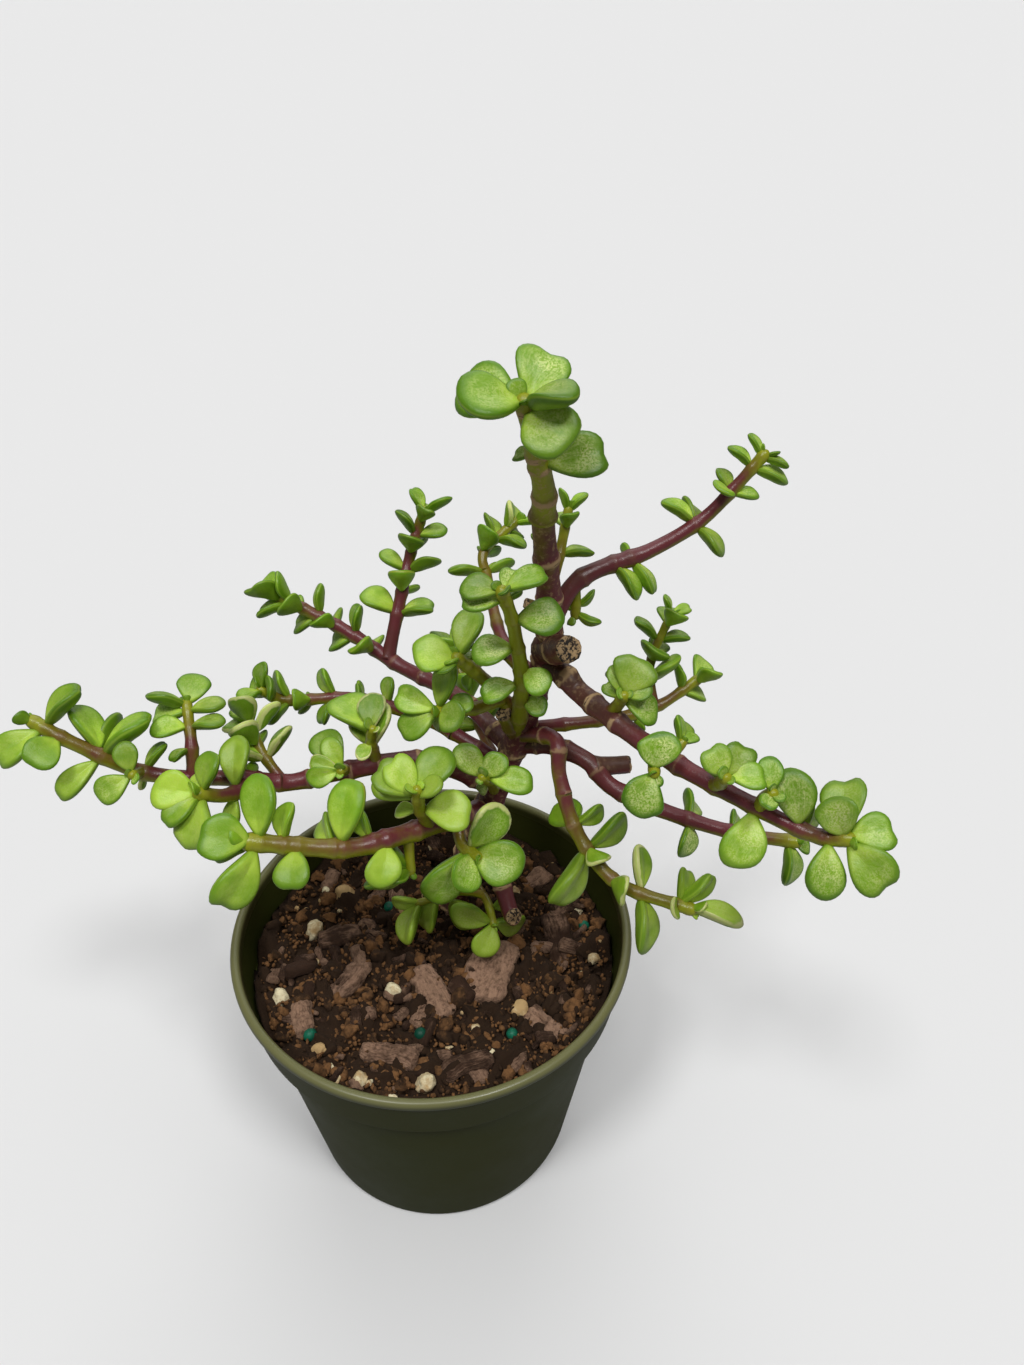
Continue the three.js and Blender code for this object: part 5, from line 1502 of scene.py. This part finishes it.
class LeafSettings(bpy.types.PropertyGroup):
    half_width: share("Half width", "Half the leaf's width as a share of its length", LEAF_HALF_WIDTH)
    half_thickness: share("Half thickness", "Half the thickness as a share of it", LEAF_HALF_THICKNESS)
    narrowing: share("Narrowing", "How much the leaf narrows to its root", LEAF_NARROWING)
    crease: share("Crease", "Depth of the fold along the middle", 0.02)
    ripple: share("Ripple", "Unevenness of the margin", 0.12)
    smoothing: number("Smoothing", "Times each leaf is subdivided", 1, min=0, max=3)
    shine: share("Shine", "How much light the skin mirrors", 0.42)
    fresh_colour: colour("Fresh", "Colour of the young leaves", (0.42, 0.61, 0.055))
    middle_colour: colour("Grown", "Colour of the grown leaves", (0.185, 0.36, 0.012))
    under_colour: colour("Underside", "Colour of the leaves' undersides", (0.17, 0.33, 0.006))
    deep_colour: colour("Margin", "Colour of the leaves' margins", (0.07, 0.19, 0.002))
    cream_colour: colour("Cream", "Colour of the flecks and streaks", (0.66, 0.74, 0.28))
    rim_colour: colour("Border", "Colour of the wide pale borders", (0.62, 0.66, 0.24))
    edge_colour: colour("Edge", "Rosy colour of some edges", (0.3, 0.12, 0.05))


class StageSettings(bpy.types.PropertyGroup):
    floor_bounce: share("Bounce", "How much of its light the floor gives back to the plant", 0.4)
    floor_colour: colour("Floor", "Colour of the floor", (0.782, 0.782, 0.782))
    floor_size: distance("Floor size", "Half the floor's width", 30.0)
    camera_place: FloatVectorProperty(name="Camera", description="Where the camera stands",
                                      default=(0.021, -0.180, 0.292), subtype="TRANSLATION", unit="LENGTH")
    camera_dip: angle("Dip", "How far the camera looks down", 36.5)
    lens: FloatProperty(name="Lens", description="Focal length in millimetres", default=27.0, min=1)
    key_spread: angle("Key spread", "How far each key light stands to its side", 36)
    key_tilt: angle("Key tilt", "How far the key lights lean from upright to the front", 28)
    key_strength: strength("Keys", "Strength of each key light", 1.05)
    key_softness: angle("Key softness", "Angle that each key light fills", 12)
    top_strength: strength("Top", "Strength of the top light", 0.6)
    top_softness: angle("Top softness", "Angle that the top light fills", 60)
    back_tilt: angle("Back tilt", "How far the back light leans from upright to the back", 50)
    back_strength: strength("Back", "Strength of the back light", 0.6)
    back_softness: angle("Back softness", "Angle that the back light fills", 50)
    sky_colour: colour("Sky", "Colour of the soft light", (1.0, 1.0, 1.0))
    sky_strength: strength("Sky", "Strength of the soft light", 0.14)
    backdrop_strength: strength("Backdrop", "Brightness of the plain backdrop behind the floor", 0.82)


class JADE_PT_panel(bpy.types.Panel):
    """Sizes, colours and build buttons of the potted jade"""
    bl_idname = "JADE_PT_panel"
    bl_label = "Potted dwarf jade"
    bl_space_type = "VIEW_3D"
    bl_region_type = "UI"
    bl_category = "Jade"

    def draw(self, context):
        for key, (settings, steps) in SETTINGS.items():
            box = self.layout.box()
            for step in steps:
                box.operator(step.bl_idname)
            for label in settings.__annotations__:
                box.prop(getattr(context.scene, key), label)


SETTINGS = {
    "jade_stage": (StageSettings, (JADE_OT_stage,)),
    "jade_pot": (PotSettings, (JADE_OT_pot,)),
    "jade_soil": (SoilSettings, (JADE_OT_soil,)),
    "jade_stems": (StemSettings, (JADE_OT_trunk,)),
    "jade_leaves": (LeafSettings, (JADE_OT_leafy_stems,)),
}


def register():
    for key, (settings, steps) in SETTINGS.items():
        for kind in (settings, *steps):
            bpy.utils.register_class(kind)
        setattr(bpy.types.Scene, key, PointerProperty(type=settings))
    bpy.utils.register_class(JADE_PT_panel)


def unregister():
    bpy.utils.unregister_class(JADE_PT_panel)
    for key, (settings, steps) in reversed(SETTINGS.items()):
        delattr(bpy.types.Scene, key)
        for kind in (settings, *steps):
            bpy.utils.unregister_class(kind)


def main():
    register()
    bpy.ops.jade.stage()
    bpy.ops.jade.pot()
    bpy.ops.jade.soil()
    bpy.ops.jade.trunk()
    bpy.ops.jade.leafy_stems()


if __name__ == "__main__":
    main()
